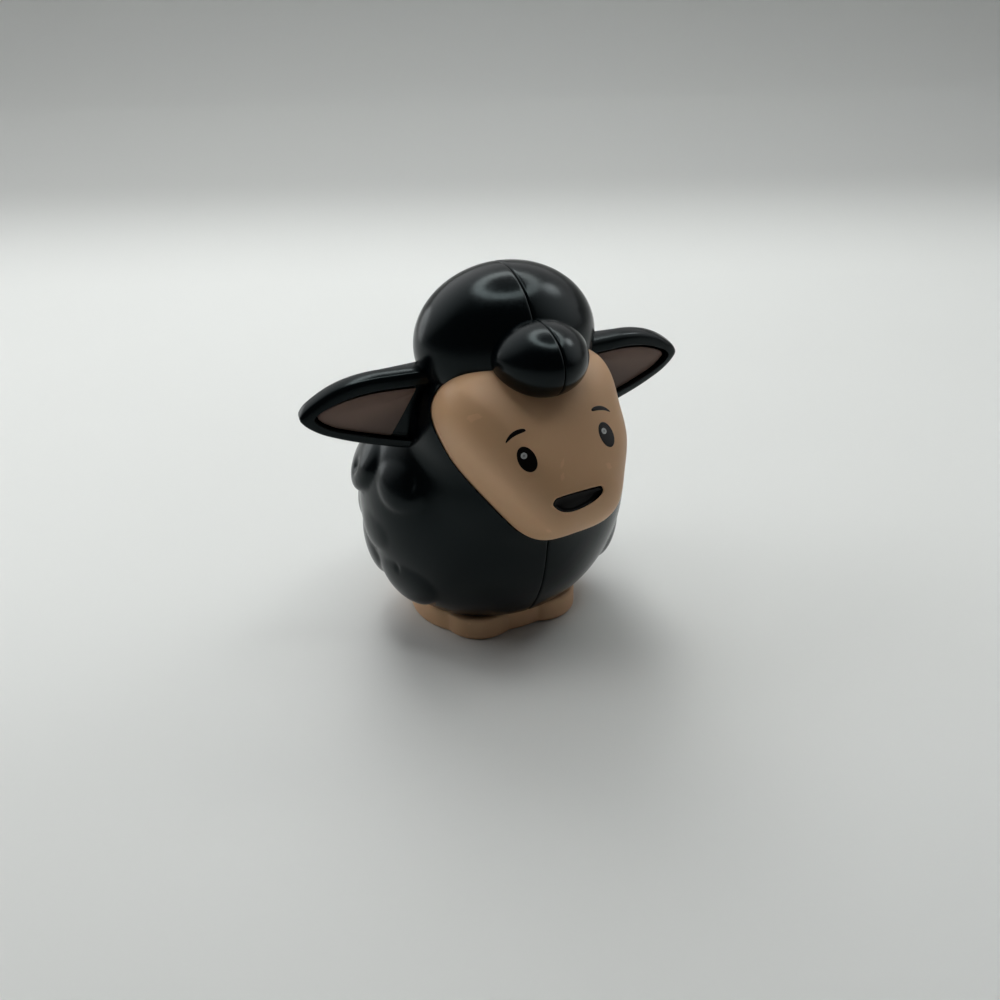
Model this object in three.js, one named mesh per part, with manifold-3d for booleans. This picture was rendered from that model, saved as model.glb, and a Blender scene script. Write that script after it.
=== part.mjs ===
// A small hard plastic toy sheep for toddlers: a round black body and woolly cap moulded as two halves
// that meet on the middle plane, a separate tan face, a tan base with four feet, and two separate ears.
// Millimetres. +Z is up and the animal faces -Y. The origin is on the floor, under the middle of the feet.
// Its right side is at -X and its left side at +X.

import * as THREE from 'three';
import { mergeVertices } from 'three/addons/utils/BufferGeometryUtils.js';
import Module from 'manifold-3d';

const wasm = await Module();
wasm.setup();

// Walls and fits
const shellWall = 2;
const faceWall = 2.5;
const clearance = 0.3;
const flangeThickness = 1.2;
const flangeReach = 1.4;
const overrun = 70;

// Body: a ball, a little deeper behind than in front, whose underside is cut away at the ankles
const bodyHalfWidth = 22.4;
const bodyHalfHeight = 23;
const bodyFrontReach = 19;
const bodyRearReach = 21;
const bodyForward = 1.5;
const bodyUndersideDrop = 0.7;
const bodyHeight = bodyHalfHeight - bodyUndersideDrop;
const bodyTop = bodyHeight + bodyHalfHeight;

// Neck and the back of the head, which surround the face
const headHalfWidth = 16.2;
const headHalfHeight = 13;
const headHalfDepth = 14.5;
const headForward = 8;
const headDrop = 6.8;
const headHeight = bodyTop - headDrop;
const collarHalfWidth = 17;
const collarHalfHeight = 14;
const collarHalfDepth = 13.5;
const collarForward = 8.5;
const collarDrop = 17.3;
const collarHeight = bodyTop - collarDrop;

// Woolly cap and the forelock on its brow
const domeHalfWidth = 14.4;
const domeHalfHeight = 11.6;
const domeHalfDepth = 10.9;
const domeForward = 6.8;
const domeRise = 5.1;
const domeHeight = bodyTop + domeRise;
const forelockHalfWidth = 7.1;
const forelockRearFlareShare = 0.1;
const forelockHalfHeight = 5.4;
const forelockHalfDepth = 7.3;
const forelockForward = 18.5;
const forelockRise = 0.8;
const forelockHeight = domeHeight + forelockRise;

// Low tufts of wool on the flanks and back: each a flat lobe sunk into the body, its lower end proud.
// Each stands at a share of the body's half height and at a turn counted from straight ahead.
const tuftHalfWidth = 6.2;
const tuftHalfHeight = 6.4;
const tuftHalfThickness = 2.6;
const tuftTiltDegrees = 10;
const tuftPlaces = [
  { riseShare: 0.43, turnDegrees: 67, proud: 0.75 },
  { riseShare: 0.38, turnDegrees: 105, proud: 1.4 },
  { riseShare: 0.5, turnDegrees: 139, proud: 0.8 },
  { riseShare: 0.42, turnDegrees: 172, proud: 0.8 },
  { riseShare: 0.03, turnDegrees: 86, proud: 0.15 },
  { riseShare: 0, turnDegrees: 123, proud: 0.6 },
  { riseShare: 0.06, turnDegrees: 157, proud: 0.8 },
  { riseShare: -0.42, turnDegrees: 70, proud: 1 },
  { riseShare: -0.32, turnDegrees: 104, proud: 1 },
  { riseShare: -0.32, turnDegrees: 139, proud: 0.8 },
];

// Tail
const tailHalfWidth = 4;
const tailHalfHeight = 5;
const tailHalfDepth = 3.6;
const tailRise = 2.7;
const tailHeight = bodyHeight + tailRise;
const tailStandOff = 0.6;

// Towers inside the halves, with the pegs that line them up
const towerRadius = 2.3;
const pegRadius = 1.1;
const pegLength = 3;
const towerPlaces = [
  { backShare: -0.2, heightShare: 0.865 },
  { backShare: 0.52, heightShare: 0.47 },
  { backShare: 0.1, heightShare: 0.25 },
];

// Face: a domed plate that leans back, wide at the brow and narrow at the chin
const faceHalfWidth = 14.3;
const faceUpperHeight = 16.5;
const faceLowerHeight = 12.8;
const faceRise = 10.6;
const faceBackDepth = 8;
const faceEdgeSet = 5;
const faceForward = 22;
const faceDrop = 0.5;
const faceHeight = headHeight - faceDrop;
const faceLeanDegrees = 33.6;
const faceRollDegrees = 3.4;
const faceFullness = 2.8;
const faceBackFullness = 2.5;
const muzzleSlope = 0.07;
const faceChinSideways = 1;
// Each point: how far across, how far up, and how much of the chin's shift to its left side it takes
const faceOutlineShares = [
  [0, 1, 0],
  [0.42, 0.99, 0],
  [0.77, 0.88, 0],
  [0.94, 0.74, 0],
  [1, 0.56, 0],
  [0.965, 0.26, 0.1],
  [0.85, -0.115, 0.9],
  [0.665, -0.52, 1],
  [0.47, -0.86, 1],
  [0.3, -0.975, 0.8],
  [0, -1, 0.6],
];

// Printed features, as thin inlays in pockets of the face
const inlayThickness = 0.6;
const inlayProud = 0.1;
const eyeHalfWidth = 1.28;
const eyeHalfHeight = 1.92;
const eyeApart = 13.3;
const eyeDrop = 0.43;
const rightEyeLeanDegrees = 12;
const leftEyeLeanDegrees = 6;
const glintRadius = 0.46;
const glintSide = 0.3;
const glintRise = 0.6;
const browLength = 2.8;
const browInnerThickness = 0.85;
const browOuterThickness = 0.4;
const browArch = 0.4;
const browRise = 3.1;
const browApart = 14.5;
const browTiltDegrees = 16;
const mouthHalfWidth = 4.05;
const mouthHalfHeight = 1.27;
const mouthSideways = 0.6;
const mouthDrop = 8.15;
const mouthDepth = 0.9;
const mouthThickness = 0.6;
const mouthOutlineShares = [
  [-0.99, 0.43],
  [-0.87, 0.92],
  [-0.63, 1],
  [-0.3, 0.98],
  [0.19, 0.91],
  [0.68, 0.83],
  [0.93, 0.71],
  [0.99, 0.35],
  [0.91, -0.09],
  [0.67, -0.54],
  [0.34, -0.83],
  [-0.03, -0.99],
  [-0.4, -0.97],
  [-0.71, -0.67],
  [-0.9, -0.14],
];

// Base with four feet
const ankleHeight = 4.6;
const baseHalfWidth = 14.6;
const baseHalfDepth = 12.4;
const frontFootRadius = 6.2;
const frontFootSideways = 5.7;
const frontFootForward = 6.7;
const rearFootRadius = 6.9;
const rearFootSideways = 6.9;
const rearFootBack = 6.9;
const footEdge = 0.7;
const baseSquareness = 2.1;
const plugHeight = 3.4;

// Ears: thick leaves with a dished front, each on a tab that goes through the wall of its half
const earLength = 18.9;
const earCentreShare = 0.42;
const earRootSideways = 14.2;
const earRootOverlap = 4;
const earRise = 4.8;
const earMiddleHeight = headHeight + earRise;
const earSweepDegrees = 8;
const rightEarLiftDegrees = 1.5;
const leftEarLiftDegrees = -1.5;
const earUpperHeight = 5.9;
const earLowerHeight = 7.6;
const earFrontForward = 8.6;
const earRimDepth = 1.8;
const earRimFullness = 5;
const earRimDrop = 0.6;
const earBackDepth = 2.8;
const earBackFullness = 2.3;
const earRimTop = 2.7;
const earRimBottom = 1.1;
const earRimTip = 2.1;
const earDish = 1.7;
const liningThickness = 0.5;
const liningRootTop = -1;
const liningRootBottom = 6.8;
const tabHeight = 6;
const tabThickness = 2.2;
const tabDrop = 4.2;
const tabBehindFront = 2.9;
const tabLength = 4;
const tabHeadThickness = 1.2;
const tabHeadLip = 0.9;
const earTopShares = [
  [0, 1],
  [0.22, 0.97],
  [0.4, 0.9],
  [0.58, 0.79],
  [0.74, 0.61],
  [0.88, 0.36],
  [0.97, 0.13],
];
const earBottomShares = [
  [1, -0.04],
  [0.97, -0.16],
  [0.86, -0.36],
  [0.71, -0.52],
  [0.56, -0.65],
  [0.4, -0.77],
  [0.22, -0.89],
  [0, -1],
];

// How finely round shapes are divided: outer surfaces are finer than the ones inside
const bodyDetail = { around: 32, levels: 20 };
const headDetail = { around: 26, levels: 14 };
const domeDetail = { around: 26, levels: 16 };
const forelockDetail = { around: 20, levels: 12 };
const tuftDetail = { around: 10, levels: 8 };
const tailDetail = { around: 18, levels: 12 };
const faceDetail = { around: 32, levels: 14 };
const earDetail = { around: 28, levels: 12 };
const innerDetailShare = 0.625;
const roundSegments = 16;
const smallRoundSegments = 12;
const glintSegments = 8;
const browSteps = 8;
const mouthSteps = 24;
const slabSteps = 32;
const footEdgeSteps = 2;

const finishes = {
  wool: { color: 0x15191b, roughness: 0.36, metalness: 0 },
  skin: { color: 0xc79873, roughness: 0.5, metalness: 0 },
  lining: { color: 0x8d6c60, roughness: 0.55, metalness: 0 },
  print: { color: 0x0b0908, roughness: 0.25, metalness: 0 },
  glint: { color: 0xb9bcbd, roughness: 0.3, metalness: 0 },
};

const degrees = THREE.MathUtils.degToRad;

// Solids from geometries, and back
function solid(geometry) {
  const bare = geometry.clone();
  bare.deleteAttribute('normal');
  bare.deleteAttribute('uv');
  const merged = mergeVertices(bare);
  return new wasm.Manifold(
    new wasm.Mesh({
      numProp: 3,
      vertProperties: new Float32Array(merged.attributes.position.array),
      triVerts: new Uint32Array(merged.index.array),
    }),
  );
}

function geometryOf(shape) {
  const { vertProperties, triVerts } = shape.getMesh();
  const geometry = new THREE.BufferGeometry();
  geometry.setAttribute('position', new THREE.BufferAttribute(new Float32Array(vertProperties), 3));
  geometry.setIndex(new THREE.BufferAttribute(new Uint32Array(triVerts), 1));
  geometry.computeVertexNormals();
  return geometry;
}

function joined(shapes) {
  return shapes.reduce((whole, shape) => whole.add(shape));
}

function piece(name, shape, finish) {
  const mesh = new THREE.Mesh(geometryOf(shape), new THREE.MeshStandardMaterial(finish));
  mesh.name = name;
  return mesh;
}

// Moves each point of a geometry to where place() puts it
function moved(geometry, place) {
  const position = geometry.attributes.position;
  const point = new THREE.Vector3();
  for (let i = 0; i < position.count; i += 1) {
    point.fromBufferAttribute(position, i);
    place(point);
    position.setXYZ(i, point.x, point.y, point.z);
  }
  return geometry;
}

function unitBall(detail, share = 1) {
  const around = Math.floor(detail.around * share);
  const levels = Math.floor(detail.levels * share);
  return new THREE.SphereGeometry(1, around, levels).rotateX(Math.PI / 2);
}

// Egg with its own reach to the front and to the rear, all its reaches grown alike
function egg(size, grow) {
  const flare = size.rearFlareShare ?? 0;
  const ball = unitBall(size.detail, grow < 0 ? innerDetailShare : 1);
  const shape = moved(ball, (point) => {
    point.x *= (size.halfWidth + grow) * (1 + flare * point.y);
    point.y *= (point.y < 0 ? size.front : size.rear) + grow;
    point.z *= size.halfHeight + grow;
  });
  return solid(shape.translate(0, -size.forward, size.height));
}

function block(width, depth, height, x, y, z) {
  return solid(new THREE.BoxGeometry(width, depth, height).translate(x, y, z));
}

const body = {
  detail: bodyDetail,
  halfWidth: bodyHalfWidth,
  halfHeight: bodyHalfHeight,
  front: bodyFrontReach,
  rear: bodyRearReach,
  forward: bodyForward,
  height: bodyHeight,
};
const head = {
  detail: headDetail,
  halfWidth: headHalfWidth,
  halfHeight: headHalfHeight,
  front: headHalfDepth,
  rear: headHalfDepth,
  forward: headForward,
  height: headHeight,
};
const collar = {
  detail: headDetail,
  halfWidth: collarHalfWidth,
  halfHeight: collarHalfHeight,
  front: collarHalfDepth,
  rear: collarHalfDepth,
  forward: collarForward,
  height: collarHeight,
};
const dome = {
  detail: domeDetail,
  halfWidth: domeHalfWidth,
  halfHeight: domeHalfHeight,
  front: domeHalfDepth,
  rear: domeHalfDepth,
  forward: domeForward,
  height: domeHeight,
};
const forelock = {
  detail: forelockDetail,
  halfWidth: forelockHalfWidth,
  halfHeight: forelockHalfHeight,
  front: forelockHalfDepth,
  rear: forelockHalfDepth,
  forward: forelockForward,
  height: forelockHeight,
  rearFlareShare: forelockRearFlareShare,
};

function trunk(grow) {
  return joined([egg(body, grow), egg(head, grow), egg(collar, grow)]);
}

function cap(grow) {
  return joined([egg(dome, grow), egg(forelock, grow)]);
}

// Tuft of wool, laid on the body square to its surface and tilted so that the lower end stands proud
function tuft(place, side, grow) {
  const turn = degrees(place.turnDegrees);
  const rise = place.riseShare;
  const level = Math.sqrt(1 - rise * rise);
  const reach = Math.cos(turn) > 0 ? bodyFrontReach : bodyRearReach;
  const middle = new THREE.Vector3(
    side * bodyHalfWidth * level * Math.sin(turn),
    -bodyForward - reach * level * Math.cos(turn),
    bodyHeight + bodyHalfHeight * rise,
  );
  const outward = new THREE.Vector3(
    (side * level * Math.sin(turn)) / bodyHalfWidth,
    (-level * Math.cos(turn)) / reach,
    rise / bodyHalfHeight,
  ).normalize();
  const across = new THREE.Vector3(0, 0, 1).cross(outward).normalize();
  const along = outward.clone().cross(across);
  const shape = unitBall(tuftDetail);
  shape.scale(tuftHalfWidth + grow, tuftHalfHeight + grow, tuftHalfThickness + grow);
  shape.rotateX(-degrees(tuftTiltDegrees)).translate(0, 0, place.proud - tuftHalfThickness);
  shape.applyMatrix4(new THREE.Matrix4().makeBasis(across, along, outward));
  return solid(shape.translate(middle.x, middle.y, middle.z));
}

function tufts(grow) {
  const onSide = (side) => tuftPlaces.map((place) => tuft(place, side, grow));
  return [...onSide(-1), ...onSide(1)];
}

function tail() {
  const rise = tailRise / bodyHalfHeight;
  const surface = bodyRearReach * Math.sqrt(1 - rise * rise) - bodyForward;
  const shape = unitBall(tailDetail).scale(tailHalfWidth, tailHalfDepth, tailHalfHeight);
  return solid(shape.translate(0, surface + tailStandOff, tailHeight));
}

// The face, in a frame of its own: x across, y up the plate, z out of it
const faceGroup = new THREE.Group();
faceGroup.position.set(0, -faceForward, faceHeight);
faceGroup.rotation.set(degrees(90 - faceLeanDegrees), 0, degrees(faceRollDegrees));
faceGroup.updateMatrix();
const fromFace = faceGroup.matrix;
const intoFace = fromFace.clone().invert();

function faceOutline() {
  const edge = (side) => faceOutlineShares.map(([across, up, shift]) => {
    const height = up > 0 ? faceUpperHeight : faceLowerHeight;
    const sideways = side * across * faceHalfWidth + shift * faceChinSideways;
    return new THREE.Vector3(sideways, up * height, 0);
  });
  const back = edge(-1).slice(1, -1).reverse();
  return new THREE.CatmullRomCurve3([...edge(1), ...back], true, 'centripetal');
}

const outline = faceOutline();

// A closed pillow over a drawn outline: z out of it, with its own depth and fullness in front and behind.
// Its side is 1, or -1 for the mirrored one.
function pillow(curve, side, ball, size) {
  const drawn = new THREE.Vector3();
  return moved(ball, (point) => {
    const flat = Math.hypot(point.x, point.y);
    const turn = flat > 0 ? Math.atan2(side * point.x, point.y) / (2 * Math.PI) : 0;
    const front = point.z > 0;
    const fullness = front ? size.riseFullness : size.backFullness;
    const spread = Math.pow(flat, 2 / fullness);
    const out = Math.pow(Math.abs(point.z), 2 / fullness) * (front ? size.rise : -size.back);
    curve.getPoint((turn + 1) % 1, drawn);
    point.set(side * drawn.x * spread, drawn.y * spread, out);
  });
}

// The whole face as a closed pebble, grown or shrunk all round
function pebble(grow) {
  const widen = 1 + grow / faceHalfWidth;
  const ball = unitBall(faceDetail, grow > -faceWall ? 1 : innerDetailShare);
  const shape = pillow(outline, 1, ball, {
    rise: faceRise + grow,
    riseFullness: faceFullness,
    back: faceBackDepth + grow,
    backFullness: faceBackFullness,
  });
  return moved(shape, (point) => {
    point.x *= widen;
    point.y *= widen;
    point.z -= faceEdgeSet + muzzleSlope * point.y;
  });
}

function facePebble(grow) {
  return solid(pebble(grow));
}

function inFigure(grow) {
  return solid(pebble(grow).applyMatrix4(fromFace));
}

function prism(outlineShape, curveSegments) {
  const settings = { depth: 2 * overrun, bevelEnabled: false, curveSegments };
  return solid(new THREE.ExtrudeGeometry(outlineShape, settings).translate(0, 0, -overrun));
}

// Layer of the face between two depths below its surface, cut to a drawn outline
function inlay(drawn, top, bottom) {
  return drawn.intersect(facePebble(-top)).subtract(facePebble(-bottom)).intersect(frontHalf());
}

function frontHalf() {
  return block(2 * overrun, 2 * overrun, overrun, 0, 0, overrun / 2 - faceEdgeSet);
}

function eyeDrawn(side, grow) {
  const shape = new THREE.Shape();
  const across = (side * eyeApart) / 2;
  const lean = degrees(side < 0 ? rightEyeLeanDegrees : leftEyeLeanDegrees);
  const [wide, high] = [eyeHalfWidth + grow, eyeHalfHeight + grow];
  shape.absellipse(across, -eyeDrop, wide, high, 0, 2 * Math.PI, false, lean);
  return prism(shape, roundSegments);
}

function glintDrawn(side, grow) {
  const shape = new THREE.Shape();
  const across = (side * eyeApart) / 2 - glintSide;
  shape.absarc(across, glintRise - eyeDrop, glintRadius + grow, 0, 2 * Math.PI, false);
  return prism(shape, glintSegments);
}

// Brow: an arch that is thick and round at its inner end and thin at its outer end
function browDrawn(side, grow) {
  const upper = [];
  const lower = [];
  for (let i = 0; i <= browSteps; i += 1) {
    const share = i / browSteps;
    const half = (browInnerThickness + (browOuterThickness - browInnerThickness) * share) / 2 + grow;
    const along = (share - 1 / 2) * browLength;
    const arch = browArch * (1 - Math.pow(2 * share - 1, 2));
    upper.push(new THREE.Vector2(along, arch + half));
    lower.push(new THREE.Vector2(along, arch - half));
  }
  const inner = new THREE.Vector2(upper[0].x - browInnerThickness / 2 - grow, 0);
  const outer = new THREE.Vector2(upper[browSteps].x + browOuterThickness / 2 + grow, 0);
  const points = [inner, ...upper, outer, ...lower.reverse()];
  const tilt = -degrees(browTiltDegrees);
  const placed = points.map((point) => {
    point.rotateAround(new THREE.Vector2(0, 0), tilt);
    return new THREE.Vector2(side * (point.x + browApart / 2), point.y + browRise);
  });
  return prism(new THREE.Shape(placed), 1);
}

// Mouth: a half moon with a nearly straight upper lip and round corners
function mouthDrawn(grow) {
  const points = mouthOutlineShares.map(([across, up]) => {
    const sideways = across * (mouthHalfWidth + grow) - mouthSideways;
    return new THREE.Vector3(sideways, up * (mouthHalfHeight + grow) - mouthDrop, 0);
  });
  const curve = new THREE.CatmullRomCurve3(points, true, 'centripetal');
  return prism(new THREE.Shape(curve.getPoints(mouthSteps).slice(0, -1)), 1);
}

function eyePieces(side, name) {
  const eye = inlay(eyeDrawn(side, 0), -inlayProud, inlayThickness).subtract(glintDrawn(side, clearance / 2));
  const glint = inlay(glintDrawn(side, 0), -inlayProud, inlayThickness);
  return [
    piece(`${name}_eye`, eye, finishes.print),
    piece(`${name}_eye_glint`, glint, finishes.glint),
  ];
}

function browPiece(side, name) {
  return piece(`${name}_brow`, inlay(browDrawn(side, 0), -inlayProud, inlayThickness), finishes.print);
}

function mouthPiece() {
  const shape = inlay(mouthDrawn(0), mouthDepth, mouthDepth + mouthThickness);
  return piece('mouth', shape, finishes.print);
}

function pockets() {
  const printed = [-1, 1].flatMap((side) => [eyeDrawn(side, clearance), browDrawn(side, clearance)]);
  const shallow = inlay(joined(printed), -overrun, inlayThickness + clearance);
  return shallow.add(inlay(mouthDrawn(clearance), -overrun, mouthDepth + mouthThickness + clearance));
}

// Flange: a layer that lies against the inside of the shell, all round the opening for the face
function faceFlange() {
  const layer = trunk(-shellWall - clearance).subtract(trunk(-shellWall - clearance - flangeThickness));
  return layer.intersect(inFigure(flangeReach)).subtract(inFigure(-faceWall));
}

function facePiece() {
  const wall = inFigure(0).subtract(inFigure(-faceWall));
  const inside = trunk(-shellWall - clearance - flangeThickness);
  const whole = wall.subtract(inside).add(faceFlange()).subtract(cap(clearance));
  const cut = joined([earTab(-1, clearance), earTab(1, clearance)]);
  const local = geometryOf(whole.subtract(cut)).applyMatrix4(intoFace);
  return piece('face', solid(local).subtract(pockets()), finishes.skin);
}

// Base: one slab with four rounded feet, and a plug that fills the hole in the bottom of the shell
function superellipse(halfWidth, halfDepth, squareness) {
  const points = [];
  for (let i = 0; i < slabSteps; i += 1) {
    const turn = (2 * Math.PI * i) / slabSteps;
    const across = Math.sign(Math.cos(turn)) * Math.pow(Math.abs(Math.cos(turn)), 2 / squareness);
    const back = Math.sign(Math.sin(turn)) * Math.pow(Math.abs(Math.sin(turn)), 2 / squareness);
    points.push(new THREE.Vector2(halfWidth * across, halfDepth * back));
  }
  return new THREE.Shape(points);
}

function slab(outlineShape) {
  const height = ankleHeight - clearance;
  const settings = {
    depth: height - 2 * footEdge,
    bevelThickness: footEdge,
    bevelSize: footEdge,
    bevelOffset: -footEdge,
    bevelSegments: footEdgeSteps,
    curveSegments: roundSegments,
  };
  return solid(new THREE.ExtrudeGeometry(outlineShape, settings).translate(0, 0, footEdge));
}

function feet() {
  const shapes = [slab(superellipse(baseHalfWidth, baseHalfDepth, baseSquareness))];
  for (const side of [-1, 1]) {
    const front = new THREE.Shape();
    front.absarc(side * frontFootSideways, -frontFootForward, frontFootRadius, 0, 2 * Math.PI, false);
    const rear = new THREE.Shape();
    rear.absarc(side * rearFootSideways, rearFootBack, rearFootRadius, 0, 2 * Math.PI, false);
    shapes.push(slab(front), slab(rear));
  }
  return joined(shapes);
}

function basePiece() {
  const height = plugHeight + ankleHeight / 2;
  const span = block(2 * overrun, 2 * overrun, height, 0, 0, (ankleHeight + height) / 2);
  const plug = egg(body, -shellWall - clearance).intersect(span);
  return piece('feet_base', feet().add(plug), finishes.skin);
}

// Ears, drawn upright about a centre of their own, with z out of the dished front
const earCentre = earRootSideways + earLength * earCentreShare;

// The leaf's outline, or the same outline drawn in by a part of its rim
function earOutline(rimShare) {
  const upper = earUpperHeight - earRimTop * rimShare;
  const lower = earLowerHeight - earRimBottom * rimShare;
  const length = earLength - earRimTip * rimShare;
  const place = ([along, up]) => {
    const height = up > 0 ? upper : lower;
    return new THREE.Vector3(earRootSideways + along * length - earCentre, up * height, 0);
  };
  const edge = earTopShares.concat(earBottomShares).map(place);
  const rootX = edge[0].x - earRootOverlap;
  const rootTop = new THREE.Vector3(rootX, edge[0].y, 0);
  const rootBottom = new THREE.Vector3(rootX, edge[edge.length - 1].y, 0);
  return new THREE.CatmullRomCurve3([...edge, rootBottom, rootTop], true, 'centripetal');
}

// Turns a shape drawn flat to face forward at one side of the head, swept back and lifted
function standUp(geometry, side) {
  const lift = side < 0 ? rightEarLiftDegrees : leftEarLiftDegrees;
  geometry.rotateX(Math.PI / 2).translate(-side * earRootSideways, 0, 0);
  geometry.rotateZ(side * degrees(earSweepDegrees)).rotateY(-side * degrees(lift));
  return geometry.translate(side * earRootSideways, -earFrontForward, earMiddleHeight);
}

function earLeaf(side) {
  const leaf = pillow(earOutline(0), side, unitBall(earDetail), {
    rise: earRimDepth,
    riseFullness: earRimFullness,
    back: earBackDepth,
    backFullness: earBackFullness,
  });
  moved(leaf, (point) => {
    point.y -= (earRimDrop * Math.max(point.z, 0)) / earRimDepth;
  });
  leaf.translate(side * earCentre, 0, -earRimDepth);
  const root = block(2 * earRootSideways, 2 * overrun, 2 * overrun, 0, 0, earMiddleHeight);
  return solid(standUp(leaf, side)).subtract(root);
}

function earDrawn(side, rimShare) {
  const points = earOutline(rimShare).getPoints(earDetail.around).slice(0, -1);
  return new THREE.Shape(points.map((point) => new THREE.Vector2(side * (point.x + earCentre), point.y)));
}

function earSheet(drawn, side, from, depth) {
  const settings = { depth, bevelEnabled: false, curveSegments: 1 };
  const sheet = new THREE.ExtrudeGeometry(drawn, settings).translate(0, 0, -from - depth);
  return solid(standUp(sheet, side));
}

function earDishCut(side) {
  return earSheet(earDrawn(side, 1), side, -overrun, overrun + earDish);
}

// The lining ends at a slant, further out at the bottom than at the top
function liningRegion(side) {
  const drawn = new THREE.Shape();
  const inner = earRootSideways + liningRootTop;
  const lower = earRootSideways + liningRootBottom;
  const outer = earRootSideways + earLength + overrun;
  drawn.moveTo(side * inner, earUpperHeight);
  drawn.lineTo(side * outer, earUpperHeight);
  drawn.lineTo(side * outer, -earLowerHeight);
  drawn.lineTo(side * lower, -earLowerHeight);
  return earSheet(drawn, side, -overrun, 2 * overrun);
}

function earLining(side, name) {
  const from = earDish - clearance - liningThickness;
  const sheet = earSheet(earDrawn(side, 1 + clearance / earRimBottom), side, from, liningThickness);
  return piece(`${name}_ear_lining`, sheet.intersect(liningRegion(side)), finishes.lining);
}

// Tab through the wall of the head, with a head inside that keeps it from pulling out
function earTab(side, grow) {
  const inner = earRootSideways - tabLength + tabHeadThickness;
  const outer = headHalfWidth + tabHeadLip;
  const depth = tabThickness + 2 * grow;
  const back = tabBehindFront - earFrontForward;
  const height = tabHeight + 2 * grow;
  const level = earMiddleHeight - tabDrop;
  const neckMiddle = (side * (inner + outer)) / 2;
  const neck = block(outer - inner + 2 * grow, depth, height, neckMiddle, back, level);
  const headMiddle = side * (earRootSideways - tabLength + tabHeadThickness / 2);
  const headWidth = tabHeadThickness + 2 * grow;
  const headBlock = block(headWidth, depth + tabHeadLip, height + 2 * tabHeadLip, headMiddle, back, level);
  return neck.add(headBlock);
}

function earPiece(side, name) {
  const seat = joined([trunk(clearance), cap(clearance), ...tufts(clearance)]);
  const leaf = earLeaf(side).subtract(earDishCut(side)).subtract(seat);
  return piece(`${name}_ear`, leaf.add(earTab(side, 0)), finishes.wool);
}

// Rod across the figure at the place of a tower, about a middle of its own
function rod(place, radius, length, middle) {
  const height = place.heightShare * (domeHeight + domeHalfHeight);
  const back = place.backShare * bodyRearReach - bodyForward;
  const shape = new THREE.CylinderGeometry(radius, radius, length, smallRoundSegments);
  return solid(shape.rotateZ(Math.PI / 2).translate(middle, back, height));
}

// The two halves of the black shell
function shellWhole() {
  const outside = joined([trunk(0), ...tufts(0), tail()]).subtract(inFigure(clearance)).add(cap(0));
  const inside = trunk(-shellWall).add(cap(-shellWall));
  const below = block(2 * overrun, 2 * overrun, overrun, 0, 0, ankleHeight - overrun / 2);
  return outside.subtract(inside).subtract(below);
}

// Towers stand on the wall of each half; the pegs of the left one go into the right one
function shellHalf(whole, side, name) {
  const keep = block(2 * overrun, 2 * overrun, 2 * overrun, side * (overrun + clearance / 2), 0, 0);
  const outside = trunk(-shellWall / 2).add(cap(-shellWall / 2));
  const across = (side * overrun) / 2;
  const towers = joined(towerPlaces.map((place) => rod(place, towerRadius, overrun, across)));
  const wall = whole.subtract(earTab(side, clearance));
  const half = wall.add(towers.intersect(outside)).intersect(keep);
  if (side > 0) {
    const pegs = towerPlaces.map((place) => rod(place, pegRadius, 2 * pegLength, 0));
    return piece(name, joined([half, ...pegs]), finishes.wool);
  }
  const reach = pegLength + clearance;
  const sockets = towerPlaces.map((place) => rod(place, pegRadius + clearance, 2 * reach, 0));
  return piece(name, half.subtract(joined(sockets)), finishes.wool);
}

const figure = new THREE.Group();
const shell = shellWhole();
figure.add(shellHalf(shell, -1, 'right_shell'));
figure.add(shellHalf(shell, 1, 'left_shell'));
figure.add(basePiece());
for (const [side, name] of [[-1, 'right'], [1, 'left']]) {
  figure.add(earPiece(side, name));
  figure.add(earLining(side, name));
  faceGroup.add(...eyePieces(side, name));
  faceGroup.add(browPiece(side, name));
}
faceGroup.add(facePiece());
faceGroup.add(mouthPiece());
figure.add(faceGroup);

export default figure;
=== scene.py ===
"""A small hard plastic toy sheep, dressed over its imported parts.

The scene is in metres. Lengths in the tables are millimetres unless a comment says metres or MM turns them
into metres. +Z is up and the animal faces -Y.
"""

from math import acos, atan2, copysign, cos, exp, hypot, pi, radians, sin, sqrt, tan

import bmesh
import bpy
from bpy.props import FloatProperty, FloatVectorProperty, IntProperty, PointerProperty
from bpy.types import Operator, Panel, PropertyGroup
from mathutils import Matrix, Vector
from mathutils.bvhtree import BVHTree


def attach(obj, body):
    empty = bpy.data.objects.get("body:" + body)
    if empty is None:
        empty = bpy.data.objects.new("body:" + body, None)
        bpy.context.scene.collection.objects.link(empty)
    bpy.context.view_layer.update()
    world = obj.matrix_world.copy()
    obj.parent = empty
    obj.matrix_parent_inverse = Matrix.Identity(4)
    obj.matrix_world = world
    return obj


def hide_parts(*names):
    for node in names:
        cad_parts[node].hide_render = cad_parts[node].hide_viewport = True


bl_info = {
    "name": "Toy sheep figure",
    "version": (1, 0, 0),
    "blender": (4, 5, 0),
    "location": "3D View > Sidebar > Toy sheep",
    "description": "Makes a moulded plastic toy sheep around its packed parts",
    "category": "Object",
}

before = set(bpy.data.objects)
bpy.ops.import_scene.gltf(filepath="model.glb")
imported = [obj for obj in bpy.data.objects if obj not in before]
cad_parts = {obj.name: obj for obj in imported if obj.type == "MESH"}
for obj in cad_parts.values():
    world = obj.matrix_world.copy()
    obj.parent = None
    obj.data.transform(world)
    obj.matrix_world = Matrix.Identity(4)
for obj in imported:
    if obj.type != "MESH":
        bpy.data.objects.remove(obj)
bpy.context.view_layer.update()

MM = 0.001
# Metres within which two points are one, and a point lies on a cutting plane
WELD = 1e-7
ON_PLANE = 1e-8
SIDES = ((-1, "right"), (1, "left"))

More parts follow.
